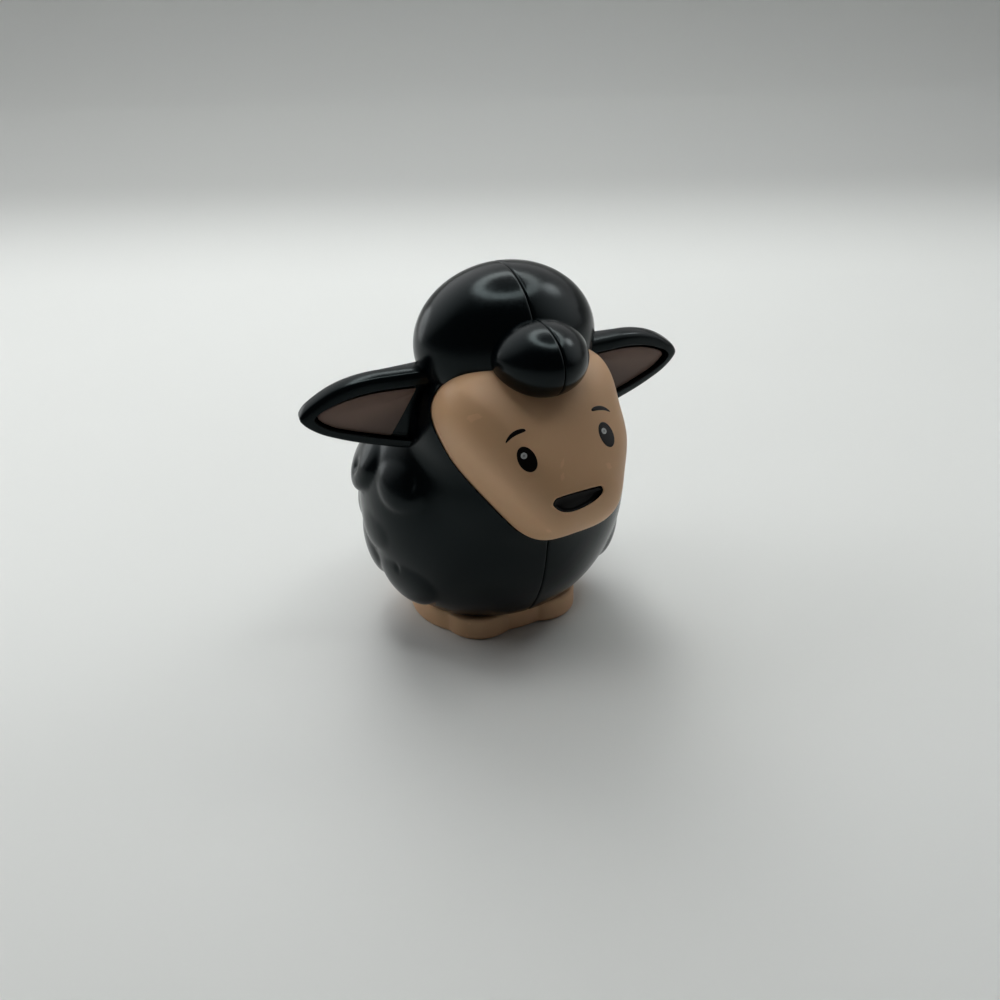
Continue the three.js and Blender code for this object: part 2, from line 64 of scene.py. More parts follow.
# Balls of the moulded black body: reach to the side, to the front, to the rear and up, then the middle
BODY = ((22.4, 19, 21, 23), (0, -1.5, 22.3))
HEAD = ((16.2, 14.5, 14.5, 13), (0, -8, 38.5))
COLLAR = ((17, 13.5, 13.5, 14), (0, -8.5, 28))
DOME = ((14.4, 10.9, 10.9, 11.58), (0, -6.8, 50.4))
FORELOCK = ((7.1, 7.3, 7.3, 5.4), (0, -18.5, 51.2))
FORELOCK_REAR_FLARE = 0.1
TRUNK_GROWTH = 0.3
TAIL = ((4, 3.6, 3.57, 5), (0, 19.95, 25))

# Tufts of wool: rise as a share of the body's half height, turn from straight ahead, how proud each stands
TUFT_REACH = (6.2, 6.4, 2.6)
TUFT_TILT = radians(-10)
TUFTS = (
    (0.43, 67, 0.4), (0.38, 105, 1.4), (0.5, 139, 0.8), (0.42, 172, 0.8), (0.03, 86, 0.15),
    (0, 123, 0.6), (0.06, 157, 0.8), (-0.42, 70, 1), (-0.32, 104, 1), (-0.32, 139, 0.8),
)
# The front upper tuft stands a little prouder on the left half
LEFT_FRONT_TUFT = (0.43, 67, 0.95)
# Dimples of the curls: rise, turn, reach across, reach up and depth
DIMPLES = (
    (0.387, 59.3, 0.75, 1.2, 0.36), (0.3, 101, 0.9, 1.3, 0.5), (0.43, 137, 1, 1.4, 0.6),
    (0.35, 170, 1, 1.3, 0.6), (-0.05, 121, 0.9, 1.3, 0.5), (0, 156, 0.9, 1.3, 0.5),
    (-0.286, 69.2, 0.5, 0.75, 0.22), (-0.38, 106, 0.8, 1.1, 0.5), (-0.38, 138, 0.9, 1.2, 0.5),
)
# A dimple ends three reaches from its middle, and moves only what lies near the body's skin
DIMPLE_REACHES = 3
DIMPLE_NEAR = 4

# Parting line: cuts beside it as shares of the lip's width, and how steeply the lip rounds down
LIP_CUTS = (1, 0.7, 0.45, 0.3, 0.18, 0.08)
LIP_POWER = 2.6
LIP_PAST = 1.5
LIP_STEPS = 5
LEAST_LEVEL = 0.5
CUT_RING = 0.9
ARC_STEPS = 72
SPIN_STEPS = 160

# Face, in a frame of its own: x across, y up the plate, z out of it
FACE_FRAME = (
    Matrix.Translation((0, -22 * MM, 38 * MM))
    @ Matrix.Rotation(radians(56.4), 4, "X")
    @ Matrix.Rotation(radians(3.4), 4, "Z")
)
FACE_HALF_WIDTH = 14.3
FACE_UPPER_HEIGHT = 16.5
FACE_LOWER_HEIGHT = 12.8
FACE_TRIM = 0.1
FACE_RISE = 10.6
FACE_BACK = 8
FACE_EDGE_SET = 5
FACE_FULLNESS = 2.8
FACE_BACK_FULLNESS = 2.5
FACE_EDGE_CRISPNESS = 0.9
FACE_CRISP_WAY = Vector((-1, 0, 0))
MUZZLE_SLOPE = 0.07
ABOVE_FACE = 40
# Half of its outline: shares across and up, and how far the chin shifts it sideways
FACE_OUTLINE = (
    (0, 1, 0), (0.42, 0.99, 0), (0.77, 0.88, 0), (0.94, 0.74, 0), (1, 0.56, 0), (0.965, 0.26, 0.1),
    (0.85, -0.115, 0.9), (0.665, -0.52, 1), (0.47, -0.86, 1), (0.3, -0.975, 0.8), (0, -1, 0.6),
)

# Eyes and brows
EYE_APART = 13.3
EYE_DROP = 0.43
EYE_LEAN = {-1: radians(12), 1: radians(6)}
GLINT_RADIUS = 0.46
GLINT_SIDE = 0.3
GLINT_RISE = 0.6
GLINT_PROUD = 0.06
BROW_APART = 14.5
BROW_RISE = 3.1
BROW_LENGTH = 2.8
BROW_INNER = 0.85
BROW_OUTER = 0.4
BROW_ARCH = 0.4
BROW_TILT = radians(16)
BROW_END_POWER = 0.7

# Mouth: its outline as shares of its reach, then spreads with heights from its floor or the face's surface
MOUTH_REACH = (4.05, 1.27)
MOUTH_CENTRE = (-0.6, -8.15)
MOUTH_OUTLINE = (
    (-0.99, 0.43), (-0.87, 0.92), (-0.63, 1), (-0.3, 0.98), (0.19, 0.91), (0.68, 0.83), (0.93, 0.71),
    (0.99, 0.35), (0.91, -0.09), (0.67, -0.54), (0.34, -0.83), (-0.03, -0.99), (-0.4, -0.97), (-0.71, -0.67),
    (-0.9, -0.14),
)
RECESS_FLOOR = (0, 0.3, 0.6, 0.85, 0.95, 1)
RECESS_WALL = ((1, -0.3), (1.01, -0.12), (1.025, -0.04), (1.05, 0), (1.12, 0.1), (1.2, 0.6), (0, 0.6))
MOUTH_DISH = ((0, 0), (0.3, 0), (0.6, 0.02), (0.8, 0.08), (0.9, 0.2), (0.95, 0.4))
MOUTH_EDGE = ((0.97, -0.2), (0.98, -0.1), (0.995, -0.12))
MOUTH_THICKNESS = 0.14
MOUTH_BACK_GAP = 0.02
MOUTH_AROUND = 128

# Ears, drawn upright about a centre of their own, z out of the dished front
EAR_LENGTH = 18.71
EAR_ROOT = 14.2
EAR_CENTRE = EAR_ROOT + EAR_LENGTH * 0.42
EAR_ROOT_OVERLAP = 4
EAR_ROOT_TUCK = 0.9
EAR_TIP_DROP = 0.45
EAR_UPPER = 5.9
EAR_LOWER = 7.6
EAR_FORWARD = 8.6
EAR_MIDDLE = {-1: 43.3, 1: 42.7}
EAR_SWEEP = radians(8)
EAR_LIFT = {-1: radians(1.5), 1: radians(-1.5)}
EAR_RIM = (2.7, 1.1, 2.1)
EAR_FRONT = 1.8
EAR_FRONT_FULLNESS = 7
EAR_FRONT_DROP = 0.6
EAR_BACK = 2.8
EAR_BACK_FULLNESS = 2.3
EAR_BACK_STEPS = 18
EAR_ROOT_DEPTH = 2.4
EAR_ROOT_GROWTH = 4
EAR_DEPTH_FADE = 0.5
EAR_EDGE = 0.22
EAR_TOP = (
    (0, 0.88), (0.1, 0.88), (0.22, 0.88), (0.4, 0.87), (0.58, 0.78), (0.74, 0.61), (0.88, 0.36), (0.97, 0.13),
)
EAR_BOTTOM = (
    (1, -0.04), (0.97, -0.16), (0.86, -0.36), (0.71, -0.52), (0.56, -0.65), (0.4, -0.77), (0.22, -0.89),
    (0, -1),
)
# Outlines over the rim, as shares of its width, then the rim's inner edge with heights
RIM_OUTLINES = (0.0005, 0.003, 0.01, 0.025, 0.05, 0.09, 0.15, 0.23, 0.33, 0.45, 0.6, 0.75, 0.88, 0.96)
RIM_INNER_EDGE = ((0.99, -0.03), (1.01, -0.1), (1.02, -0.3), (1.03, -0.6))
# Outlines where the rim runs into the dish, with heights above the dish's floor
DISH_EDGE = ((1.06, 0.3), (1.1, 0.08), (1.25, 0))
DISH_OUTLINE = 1.25
DISH_SPREAD = 0.93
DISH_STEPS = 6

# Lining of an ear: outline, heights of its front and back above the dish, edges, and where its root is cut
LINING_OUTLINE = 1.27
LINING_FRONT = 0.8
LINING_BACK = 0.3
LINING_RISE = 0.25
LINING_STEPS = 8
LINING_SPREAD = 0.96
LINING_EDGE = 0.08
LINING_ROOT_TOP = -1
LINING_ROOT_BOTTOM = 6.8

# Tab at an ear's root: its size, and its middle out from the centre, behind the ear and below its middle
TAB_SIZE = (3, 2.2, 6)
TAB_MIDDLE = (12.9, 2.9, 4.2)
TAB_EDGE = 0.4

# Base, and its feet by their place to the side, their place along and their radius
ANKLE = 4.6
BASE_TOP_GAP = 0.3
BASE_REACH = (14.6, 12.4)
BASE_SQUARENESS = 2.1
FEET = ((5.7, -6.7, 6.2), (6.9, 6.9, 6.9))
FOOT_SQUARENESS = 2
BASE_GRAIN = 0.22
BASE_SOFTEN = 5

# Scales of the plastic's patterns, per metre, and the heights of its bumps
CLOUD_SCALE = 70
SPECK_SCALE = 1900
HAIR_STRETCH = (260, 2600, 900)
WIPE_SCALE = 140
PEEL_SCALE = 160
PEEL_HEIGHT = 0.12
GRIT_HEIGHT = 0.012
WOOL_SHEEN = (0.8, 0.97, 1, 1)

# Camera, fitted to the photograph
CAMERA_PLACE = Vector((-69.65, -148.65, 110.14)) * MM
CAMERA_AZIMUTH = radians(25.70)
CAMERA_PITCH = radians(29.115)
CAMERA_ROLL = radians(-1.17)
CAMERA_LENS = 39.6
CAMERA_SENSOR = 36

# Floor and paper, in metres
FLOOR_HALF_WIDTH = 6
FLOOR_DROP = 0.0004
PAPER_HALF_WIDTH = 0.6
PAPER_NEAR_END = -2
PAPER_TOP = 0.15
PAPER_CURVE_STEPS = 16
# Painted shading on paper and floor: the height over which it darkens as the paper curves up, then the
# direction and distances over which it darkens closer to the camera
PAPER_SHADE_HEIGHT = 0.019
PAPER_NEAR_WAY = (0.434, 0.901, 0)
PAPER_NEAR_SHADE = (-0.1, 0.01)

# Ring light: middle, direction, inner and outer half angles, and, in metres, how it dims to its right
RING_MIDDLE = Vector((0, -9, 58)) * MM
RING_AIM = Vector((0.2474, 0.1475, 0.9576))
RING_HALF_ANGLES = (17.5, 27)
RING_COLOUR = (0.975, 1, 0.985, 1)
RING_DIM_WAY = (1, -0.07, 0)
RING_DIM_REACH = (-0.06, 0.26)
RING_SHARES = (1.02, 0.68)

# Lamps round the cap: direction, distance and width in metres, power in watts, and the rays that pass them by
LAMP_MIDDLE = Vector((0, -9, 52)) * MM
LAMPS = {
    "side_light": ((0.766, 0.05, 0.64), 0.6, 0.16, 0.36, "visible_diffuse"),
    "side_fill": ((0.766, 0.05, 0.64), 0.6, 0.16, 0.21, "visible_glossy"),
    "left_fill": ((-0.75, 0.35, 0.55), 0.45, 0.25, 0.4, "visible_glossy"),
    "left_card": ((-0.491, 0.869, 0.05), 0.4, 0.22, 0.24, "visible_diffuse"),
}
BACK_LAMP = ((0.129, 0.659, 0.72), 0.55, 0.3)

# Glows of the surroundings: direction, the cosine at which each starts, and strength
GLOW_BEHIND = ((0.37, 0.78, 0.5), 0.1, 0.55)
GLOW_LEFT = ((-0.27, 0.773, 0.574), 0.62, 1.17)
GLOW_RIGHT = ((0.87, -0.153, 0.469), 0.8, 0.85)
SKY_EVERYWHERE = 0.04
SKY_REFLECTED = 1.3
SKY_FALLING = 0.28
BACKDROP_COLOUR = (0.62, 0.63, 0.63, 1)


# Sizes and colours that a user would change


def setting(name, description, default, least, most, kind=FloatProperty, **more):
    return kind(name=name, description=description, default=default, min=least, max=most, **more)


def distance(name, description, default, least, most):
    """A length, given in millimetres."""
    return setting(name, description, default * MM, least * MM, most * MM, unit="LENGTH")


def tint(name, description, default):
    return setting(name, description, default, 0, 1, FloatVectorProperty, subtype="COLOR", size=3)


class ShellSettings(PropertyGroup):
    colour: tint("Colour", "Colour of the moulded black wool", (0.0005, 0.0014, 0.002))
    grain: distance("Grain", "Distance between the points of the blended surface", 0.3, 0.15, 1)
    trunk_grain: distance("Trunk grain", "Distance between the points of body, neck and head", 0.6, 0.3, 2)
    trunk_soften: setting(
        "Trunk soften", "Rounds of smoothing where body, neck and head run together", 90, 0, 300, IntProperty)
    soften: setting(
        "Soften", "Rounds of smoothing where the tufts run into the body", 12, 0, 40, IntProperty)
    parting_depth: distance("Parting depth", "Depth of the groove between the two halves", 0.34, 0, 1)
    parting_lip: distance("Parting lip", "Width of the rounded edge beside the parting line", 0.35, 0.05, 2)
    face_gap: distance("Face gap", "Gap between the face and the shell round it", 0.16, 0, 1)


class FaceSettings(PropertyGroup):
    colour: tint("Skin colour", "Colour of the moulded tan plastic", (0.62, 0.383, 0.217))
    print_colour: tint("Print colour", "Colour of the eyes, brows and mouth", (0.0022, 0.0018, 0.0016))
    glint_colour: tint("Glint colour", "Colour of the printed glint in an eye", (0.46, 0.48, 0.48))
    eye_half_width: distance("Eye half width", "Half the width of an eye", 1.28, 0.5, 3)
    eye_half_height: distance("Eye half height", "Half the height of an eye", 1.92, 0.5, 4)
    mouth_depth: distance("Mouth depth", "Depth of the mouth below the face", 1.05, 0.2, 2)


class EarSettings(PropertyGroup):
    lining_colour: tint("Lining colour", "Colour of the painted inside of the ears", (0.245, 0.163, 0.13))
    dish: distance("Dish depth", "Depth of the hollow in the front of an ear", 1.7, 0.5, 3)


class BaseSettings(PropertyGroup):
    edge: distance("Edge radius", "Rounding of the feet's edges", 0.7, 0.1, 2)


class StageSettings(PropertyGroup):
    floor_colour: tint("Floor colour", "Colour of the floor", (0.75, 0.764, 0.75))
    ring_distance: distance("Ring light distance", "Distance from figure to ring light", 420, 100, 3000)
    ring_power: setting("Ring light brightness", "Strength of the ring light's glow", 7.6, 0, 200)
    fill_share: setting("Ring light fill", "Share of the ring light that falls on the figure", 0.65, 0, 2)
    back_power: setting("Back light power", "Power of the light from behind", 1.4, 0, 20, unit="POWER")
    sweep_distance: distance("Sweep distance", "Distance behind the figure to the curve", 180, 100, 3000)
    sweep_radius: distance("Sweep radius", "Radius of the paper's curve", 120, 10, 1000)
    sky_power: setting("Backdrop brightness", "Strength of the light from around the figure", 1, 0, 10)


def group(name, description, kind):
    return PointerProperty(name=name, description=description, type=kind)


class SheepSettings(PropertyGroup):
    shell: group("Shell", "Sizes and colour of the black shell", ShellSettings)
    face: group("Face", "Sizes and colours of the face", FaceSettings)
    ears: group("Ears", "Size and colour of the ears' dishes", EarSettings)
    base: group("Base", "Size of the base's edges", BaseSettings)
    stage: group("Stage", "Floor and lights", StageSettings)


# Meshes


def in_scene(name, data):
    piece = bpy.data.objects.new(name, data)
    bpy.context.scene.collection.objects.link(piece)
    return piece


def object_of(name, bm, smooth=True):
    """A new object in the scene from a bmesh, which is used up."""
    mesh = bpy.data.meshes.new(name)
    bm.to_mesh(mesh)
    bm.free()
    for face in mesh.polygons:
        face.use_smooth = smooth
    return in_scene(name, mesh)


def settle(piece):
    """Turns what a piece's modifiers make into its own mesh."""
    graph = bpy.context.evaluated_depsgraph_get()
    made = bpy.data.meshes.new_from_object(piece.evaluated_get(graph))
    piece.modifiers.clear()
    before = piece.data
    piece.data = made
    bpy.data.meshes.remove(before)
    made.name = piece.name
    return piece


def discard(piece):
    mesh = piece.data
    bpy.data.objects.remove(piece)
    bpy.data.meshes.remove(mesh)


def cut(piece, cutter):
    """Takes a closed cutter out of a closed piece."""
    cutting = piece.modifiers.new("Cut", "BOOLEAN")
    cutting.operation = "DIFFERENCE"
    cutting.solver = "MANIFOLD"
    cutting.object = cutter
    settle(piece)
    discard(cutter)
    if not piece.data.polygons:
        raise RuntimeError(f"the cut left nothing of {piece.name}")
    return piece


def everything(bm):
    return bm.verts[:] + bm.edges[:] + bm.faces[:]


def of_kind(kind, items):
    return [item for item in items if isinstance(item, kind)]


def turn_outwards(bm):
    bmesh.ops.recalc_face_normals(bm, faces=bm.faces[:])


def round_edges(bm, edges, radius, segments, clamp=False):
    """Rounds edges by a radius in metres."""
    bmesh.ops.bevel(
        bm, geom=edges, offset=radius, segments=segments, profile=0.5, affect="EDGES", material=-1,
        clamp_overlap=clamp)


def slice_off(bm, place, towards):
    """Cuts a closed mesh flat, keeps one side of it and closes the cut. Returns the new face's edges."""
    bmesh.ops.bisect_plane(
        bm, geom=everything(bm), dist=ON_PLANE, plane_co=place, plane_no=towards, clear_inner=True)
    rim = [edge for edge in bm.edges if edge.is_boundary]
    bmesh.ops.holes_fill(bm, edges=rim, sides=0)
    return rim


def skin(bm, around, along, place):
    """Closed surface through place(turn, way): turn runs once round it and way from one pole to the other."""
    made = bmesh.ops.create_grid(bm, x_segments=around, y_segments=along, size=1)["verts"]
    for vert in made:
        turn = (vert.co.x + 1) / 2
        way = (vert.co.y + 1) / 2
        vert.co = place(turn if turn < 1 - 1e-6 else 0, way)
    bmesh.ops.remove_doubles(bm, verts=made, dist=WELD)
    turn_outwards(bm)


def drawn_line(bm, places):
    """Points joined by edges, to spin or extrude."""
    made = [bm.verts.new(place) for place in places]
    return made, [bm.edges.new(pair) for pair in zip(made, made[1:])]


def between(stations, way):
    """The row of numbers at a share of the way along a list of rows."""
    spot = way * (len(stations) - 1)
    low = min(int(spot + 1e-6), len(stations) - 1)
    high = min(low + 1, len(stations) - 1)
    part = spot - low
    return [a + (b - a) * part for a, b in zip(stations[low], stations[high])]


def add_to(bm, part):
    """Adds a part made on its own, which is used up."""
    mesh = bpy.data.meshes.new("part")
    part.to_mesh(mesh)
    part.free()
    bm.from_mesh(mesh)
    bpy.data.meshes.remove(mesh)


def egg(ball, around=96, levels=64):
    """Ball with a reach of its own to the side, front, rear and up."""
    (side, front, rear, up), middle = ball
    bm = bmesh.new()
    bmesh.ops.create_uvsphere(bm, u_segments=around, v_segments=levels, radius=1)
    for vert in bm.verts:
        deep = front if vert.co.y < 0 else rear
        vert.co = (Vector((side * vert.co.x, deep * vert.co.y, up * vert.co.z)) + Vector(middle)) * MM
    return bm


def closed_curve(points):
    """Smooth closed line through points, from 0 to 1, with knots spaced by the root of their distance."""
    count = len(points)

    def at(share):
        spot = (share % 1) * count
        low = int(spot)
        part = spot - low
        before, start, end, after = [points[(low + step) % count] for step in (-1, 0, 1, 2)]
        pairs = ((before, start), (start, end), (end, after))
        lead, span, trail = [max((b - a).length, 1e-12) ** 0.5 for a, b in pairs]
        leaving = (start - before) / lead - (end - before) / (lead + span) + (end - start) / span
        reaching = (end - start) / span - (after - start) / (span + trail) + (after - end) / trail
        leaving, reaching = leaving * span, reaching * span
        cube = 2 * start - 2 * end + leaving + reaching
        square = -3 * start + 3 * end - 2 * leaving - reaching
        return start + leaving * part + square * part**2 + cube * part**3

    return at


def run_together(name, bm, grain, rounds):
    """Closed skin over everything in a bmesh, smoothed."""
    whole = object_of(name, bm)
    blend = whole.modifiers.new("Blend", "REMESH")
    blend.mode = "VOXEL"
    blend.voxel_size = grain
    soften = whole.modifiers.new("Soften", "SMOOTH")
    soften.factor = 0.5
    soften.iterations = rounds
    return settle(whole)


# The black shell


def body_place(side, rise, turn):
    """Frame on the body's skin, in millimetres: x across, y up it and z out of it."""
    turn = radians(turn)
    (wide, front, rear, high), middle = BODY
    level = sqrt(1 - rise * rise)
    reach = front if cos(turn) > 0 else rear
    spot = Vector((side * wide * level * sin(turn), -reach * level * cos(turn), high * rise))
    outward = Vector((spot.x / wide**2, spot.y / reach**2, spot.z / high**2)).normalized()
    across = Vector((0, 0, 1)).cross(outward).normalized()
    turned = Matrix((across, outward.cross(across), outward)).transposed().to_4x4()
    return Matrix.Translation((spot + Vector(middle)) * MM) @ turned


def tuft_ball(tuft, side):
    rise, turn, proud = tuft
    bm = bmesh.new()
    made = bmesh.ops.create_uvsphere(bm, u_segments=48, v_segments=32, radius=1)["verts"]
    bmesh.ops.scale(bm, verts=made, vec=Vector(TUFT_REACH) * MM)
    bmesh.ops.rotate(bm, verts=made, matrix=Matrix.Rotation(TUFT_TILT, 3, "X"))
    bmesh.ops.translate(bm, verts=made, vec=(0, 0, (proud - TUFT_REACH[2]) * MM))
    bmesh.ops.transform(bm, verts=made, matrix=body_place(side, rise, turn))
    return bm


def dimple(mesh, side, rise, turn, wide, high, deep):
    """Presses a soft hollow into the body's skin."""
    place = body_place(side, rise, turn)
    inverse = place.inverted()
    outward = place.to_3x3().col[2]
    for vert in mesh.vertices:
        if side * vert.co.x < 0:
            continue
        x, y, z = inverse @ vert.co / MM
        spot = (x / wide) ** 2 + (y / high) ** 2
        if spot < DIMPLE_REACHES**2 and abs(z) < DIMPLE_NEAR:
            vert.co -= outward * deep * MM * exp(-spot)


def trunk_skin(settings):
    """Body, neck and head run together into one smooth skin."""
    trunk = bmesh.new()
    for reaches, middle in (BODY, HEAD, COLLAR):
        grown = [reach + TRUNK_GROWTH for reach in reaches]
        add_to(trunk, egg((grown, middle), 128, 80))
    return run_together("trunk_skin", trunk, settings.trunk_grain, settings.trunk_soften)


def blended_body(settings):
    """The trunk with its tufts, its tail, its dimples and the pocket for the face."""
    smooth = trunk_skin(settings)
    bm = bmesh.new()
    bm.from_mesh(smooth.data)
    discard(smooth)
    add_to(bm, egg(TAIL))
    for side, _ in SIDES:
        for tuft in (TUFTS[0] if side < 0 else LEFT_FRONT_TUFT, *TUFTS[1:]):
            add_to(bm, tuft_ball(tuft, side))
    body = run_together("body_skin", bm, settings.grain, settings.soften)
    for side, _ in SIDES:
        for place in DIMPLES:
            dimple(body.data, side, *place)
    pocket = object_of("pocket", pebble(settings.face_gap / MM, 160, 80))
    pocket.data.transform(FACE_FRAME)
    return cut(body, pocket)


def half_body(bm, body, side, settings):
    """One half of the blended body, with a rounded edge beside the parting line."""
    bm.from_mesh(body.data)
    lip = settings.parting_lip
    for share in LIP_CUTS:
        place = (side * lip * share, 0, 0)
        bmesh.ops.bisect_plane(bm, geom=everything(bm), dist=ON_PLANE, plane_co=place, plane_no=(side, 0, 0))
    bm.normal_update()
    for vert in bm.verts:
        inside = 1 - side * vert.co.x / lip
        if 0 < inside <= LIP_PAST:
            level = Vector((0, vert.normal.y, vert.normal.z))
            if level.length > LEAST_LEVEL:
                vert.co -= level.normalized() * settings.parting_depth * min(inside, 1) ** LIP_POWER
    slice_off(bm, (0, 0, 0), (side, 0, 0))
    slice_off(bm, (0, 0, ANKLE * MM), (0, 0, 1))


def lip_profile(wide, high, lip, depth):
    """Quarter of a unit circle that rounds down beside the parting line and then runs in to the centre."""
    last = acos(lip / wide)
    turns = [last * i / ARC_STEPS for i in range(ARC_STEPS + 1)]
    profile = [(cos(turn), sin(turn)) for turn in turns]
    top = profile[-1][1]
    for i in range(1, LIP_STEPS + 1):
        turn = pi / 2 * i / LIP_STEPS
        profile.append((lip * (1 - sin(turn)) / wide, top - depth / high * (1 - cos(turn))))
    return profile + [(0, top - CUT_RING / high), (0, 0)]


def half_ball(ball, side, settings, flare):
    """Half of a ball, spun about the line across the figure, with a rounded edge beside the parting line."""
    (wide, front, rear, high), middle = ball
    profile = lip_profile(wide, high, settings.parting_lip / MM, settings.parting_depth / MM)
    bm = bmesh.new()
    made, line = drawn_line(bm, [(side * x, 0, z) for x, z in profile])
    bmesh.ops.spin(
        bm, geom=made + line, cent=(0, 0, 0), axis=(1, 0, 0), dvec=(0, 0, 0), angle=2 * pi,
        steps=SPIN_STEPS, use_merge=True, use_duplicate=False)
    for vert in bm.verts:
        deep = front if vert.co.y < 0 else rear
        x, y, z = vert.co
        vert.co = (Vector((wide * x * (1 + flare * y), deep * y, high * z)) + Vector(middle)) * MM
    bmesh.ops.remove_doubles(bm, verts=bm.verts[:], dist=WELD)
    turn_outwards(bm)
    return bm


def shell_half(body, side, name, settings):
    bm = bmesh.new()
    half_body(bm, body, side, settings)
    for ball, flare in ((DOME, 0), (FORELOCK, FORELOCK_REAR_FLARE)):
        add_to(bm, half_ball(ball, side, settings, flare))
    return object_of(f"{name}_wool_half", bm)


# The face


def face_curve():
    def edge(side):
        return [
            Vector((
                side * across * FACE_HALF_WIDTH + shift,
                up * (FACE_UPPER_HEIGHT if up > 0 else FACE_LOWER_HEIGHT),
                0))
            for across, up, shift in FACE_OUTLINE
        ]

    return closed_curve(edge(1) + edge(-1)[-2:0:-1])


def pebble(grow, around=192, levels=96):
    """The face as a closed pebble in its own frame, grown all round by some millimetres."""
    bm = bmesh.new()
    outline = face_curve()
    grow -= FACE_TRIM
    widen = 1 + grow / FACE_HALF_WIDTH
    made = bmesh.ops.create_uvsphere(bm, u_segments=around, v_segments=levels, radius=1)["verts"]
    for vert in made:
        x, y, z = vert.co
        flat = min(hypot(x, y), 1)
        front = z > 0
        drawn = outline(atan2(x, y) / (2 * pi)) if flat > 1e-6 else Vector((0, 0, 0))
        crisp = max(drawn.normalized().dot(FACE_CRISP_WAY), 0) ** 2
        fullness = FACE_FULLNESS + FACE_EDGE_CRISPNESS * crisp if front else FACE_BACK_FULLNESS
        spread = flat ** (2 / fullness) * widen
        out = abs(z) ** (2 / fullness) * (FACE_RISE + grow if front else -FACE_BACK - grow)
        height = drawn.y * spread
        vert.co = Vector((drawn.x * spread, height, out - FACE_EDGE_SET - MUZZLE_SLOPE * height)) * MM
    turn_outwards(bm)
    return bm


class Surface:
    """The face's front, to lay flat drawings on."""

    def __init__(self):
        bm = pebble(0)
        self.tree = BVHTree.FromBMesh(bm)
        bm.free()

    def over(self, x, y, up, straight=False):
        """Point above a flat place, in millimetres, square to the face's surface or straight up from it."""
        hit, normal, _, _ = self.tree.ray_cast(Vector((x, y, ABOVE_FACE)) * MM, Vector((0, 0, -1)))
        if hit is None:
            raise RuntimeError(f"nothing of the face lies under {x:.1f}, {y:.1f}")
        return hit + (Vector((0, 0, 1)) if straight else normal) * up * MM


def laid_on(surface, outline, centre, stations, around=96, straight=False):
    """Closed skin over a flat outline on the face. Each station has a spread from the centre and a height."""
    bm = bmesh.new()

    def place(turn, way):
        spread, up = between(stations, way)
        x, y = outline(turn)
        x, y = centre[0] + (x - centre[0]) * spread, centre[1] + (y - centre[1]) * spread
        return surface.over(x, y, up, straight)

    skin(bm, around, len(stations) - 1, place)
    return bm


def set_in_face(piece, slot, packed):
    """Puts a piece drawn in the face's frame where the face is, and dresses it."""
    piece.data.transform(FACE_FRAME)
    dress(piece, slot, packed)


def mouth_line():
    """Outline of the mouth: a half moon with a nearly straight upper lip and round corners."""
    (wide, high), (x, y) = MOUTH_REACH, MOUTH_CENTRE
    curve = closed_curve([Vector((x + across * wide, y + up * high)) for across, up in MOUTH_OUTLINE])
    return lambda turn: tuple(curve(turn))


def mouth_piece(name, surface, rows):
    return object_of(
        name, laid_on(surface, mouth_line(), MOUTH_CENTRE, rows, MOUTH_AROUND, straight=True))


def recess_rows(depth):
    """Stations of the hole for the mouth: its flat floor, its straight wall and its flared lip."""
    return [(spread, -depth) for spread in RECESS_FLOOR] + list(RECESS_WALL)


def lining_of_mouth_rows(depth):
    """Stations of the mouth's lining: its dished front, its edge and its flat back."""
    rows = [(spread, MOUTH_THICKNESS - depth + up) for spread, up in MOUTH_DISH] + list(MOUTH_EDGE)
    back = MOUTH_BACK_GAP - depth
    return rows + [(0.995, 0.2 - depth), (0.98, back), (0.5, back), (0, back)]


def printed(edge=0.03, sunk=0.25, proud=0.035):
    """Stations of a thin print: from the middle of its front, over its edge, to the middle of its back."""
    spreads = [i / 10 for i in range(10)]
    front = [(share * (1 - edge), proud) for share in spreads]
    rim = [(1 - edge, proud), (1 - edge / 3, proud * 0.75), (1, proud * 0.2), (1, -sunk)]
    return front + rim + [(share, -sunk) for share in reversed(spreads)]


def oval(middle, half_width, half_height, lean=0):
    turned = Matrix.Rotation(lean, 2)

    def at(turn):
        run = 2 * pi * turn
        x, y = turned @ Vector((half_width * sin(run), half_height * cos(run)))
        return middle[0] + x, middle[1] + y

    return at


def brow_line(side):
    """Outline of a brow and its middle: an arch, thick at its inner end and thin at its outer end."""
    middle = Vector((side * BROW_APART / 2, BROW_RISE))

    def tilted(along, up):
        turned = Matrix.Rotation(-BROW_TILT, 2) @ Vector((along, up))
        return middle.x + side * turned.x, middle.y + turned.y

    def at(turn):
        run = 2 * pi * turn
        across = sin(run)
        thick = BROW_INNER + (BROW_OUTER - BROW_INNER) * (across + 1) / 2
        rounded = copysign(abs(cos(run)) ** BROW_END_POWER, cos(run))
        return tilted(across * (BROW_LENGTH + thick) / 2, BROW_ARCH * (1 - across**2) + rounded * thick / 2)

    return at, tilted(0, BROW_ARCH)


def eye_print(surface, side, name, settings):
    middle = (side * EYE_APART / 2, -EYE_DROP)
    outline = oval(middle, settings.eye_half_width / MM, settings.eye_half_height / MM, EYE_LEAN[side])
    eye = object_of(f"{name}_eye_print", laid_on(surface, outline, middle, printed()))
    set_in_face(eye, "print_black", f"{name}_eye")


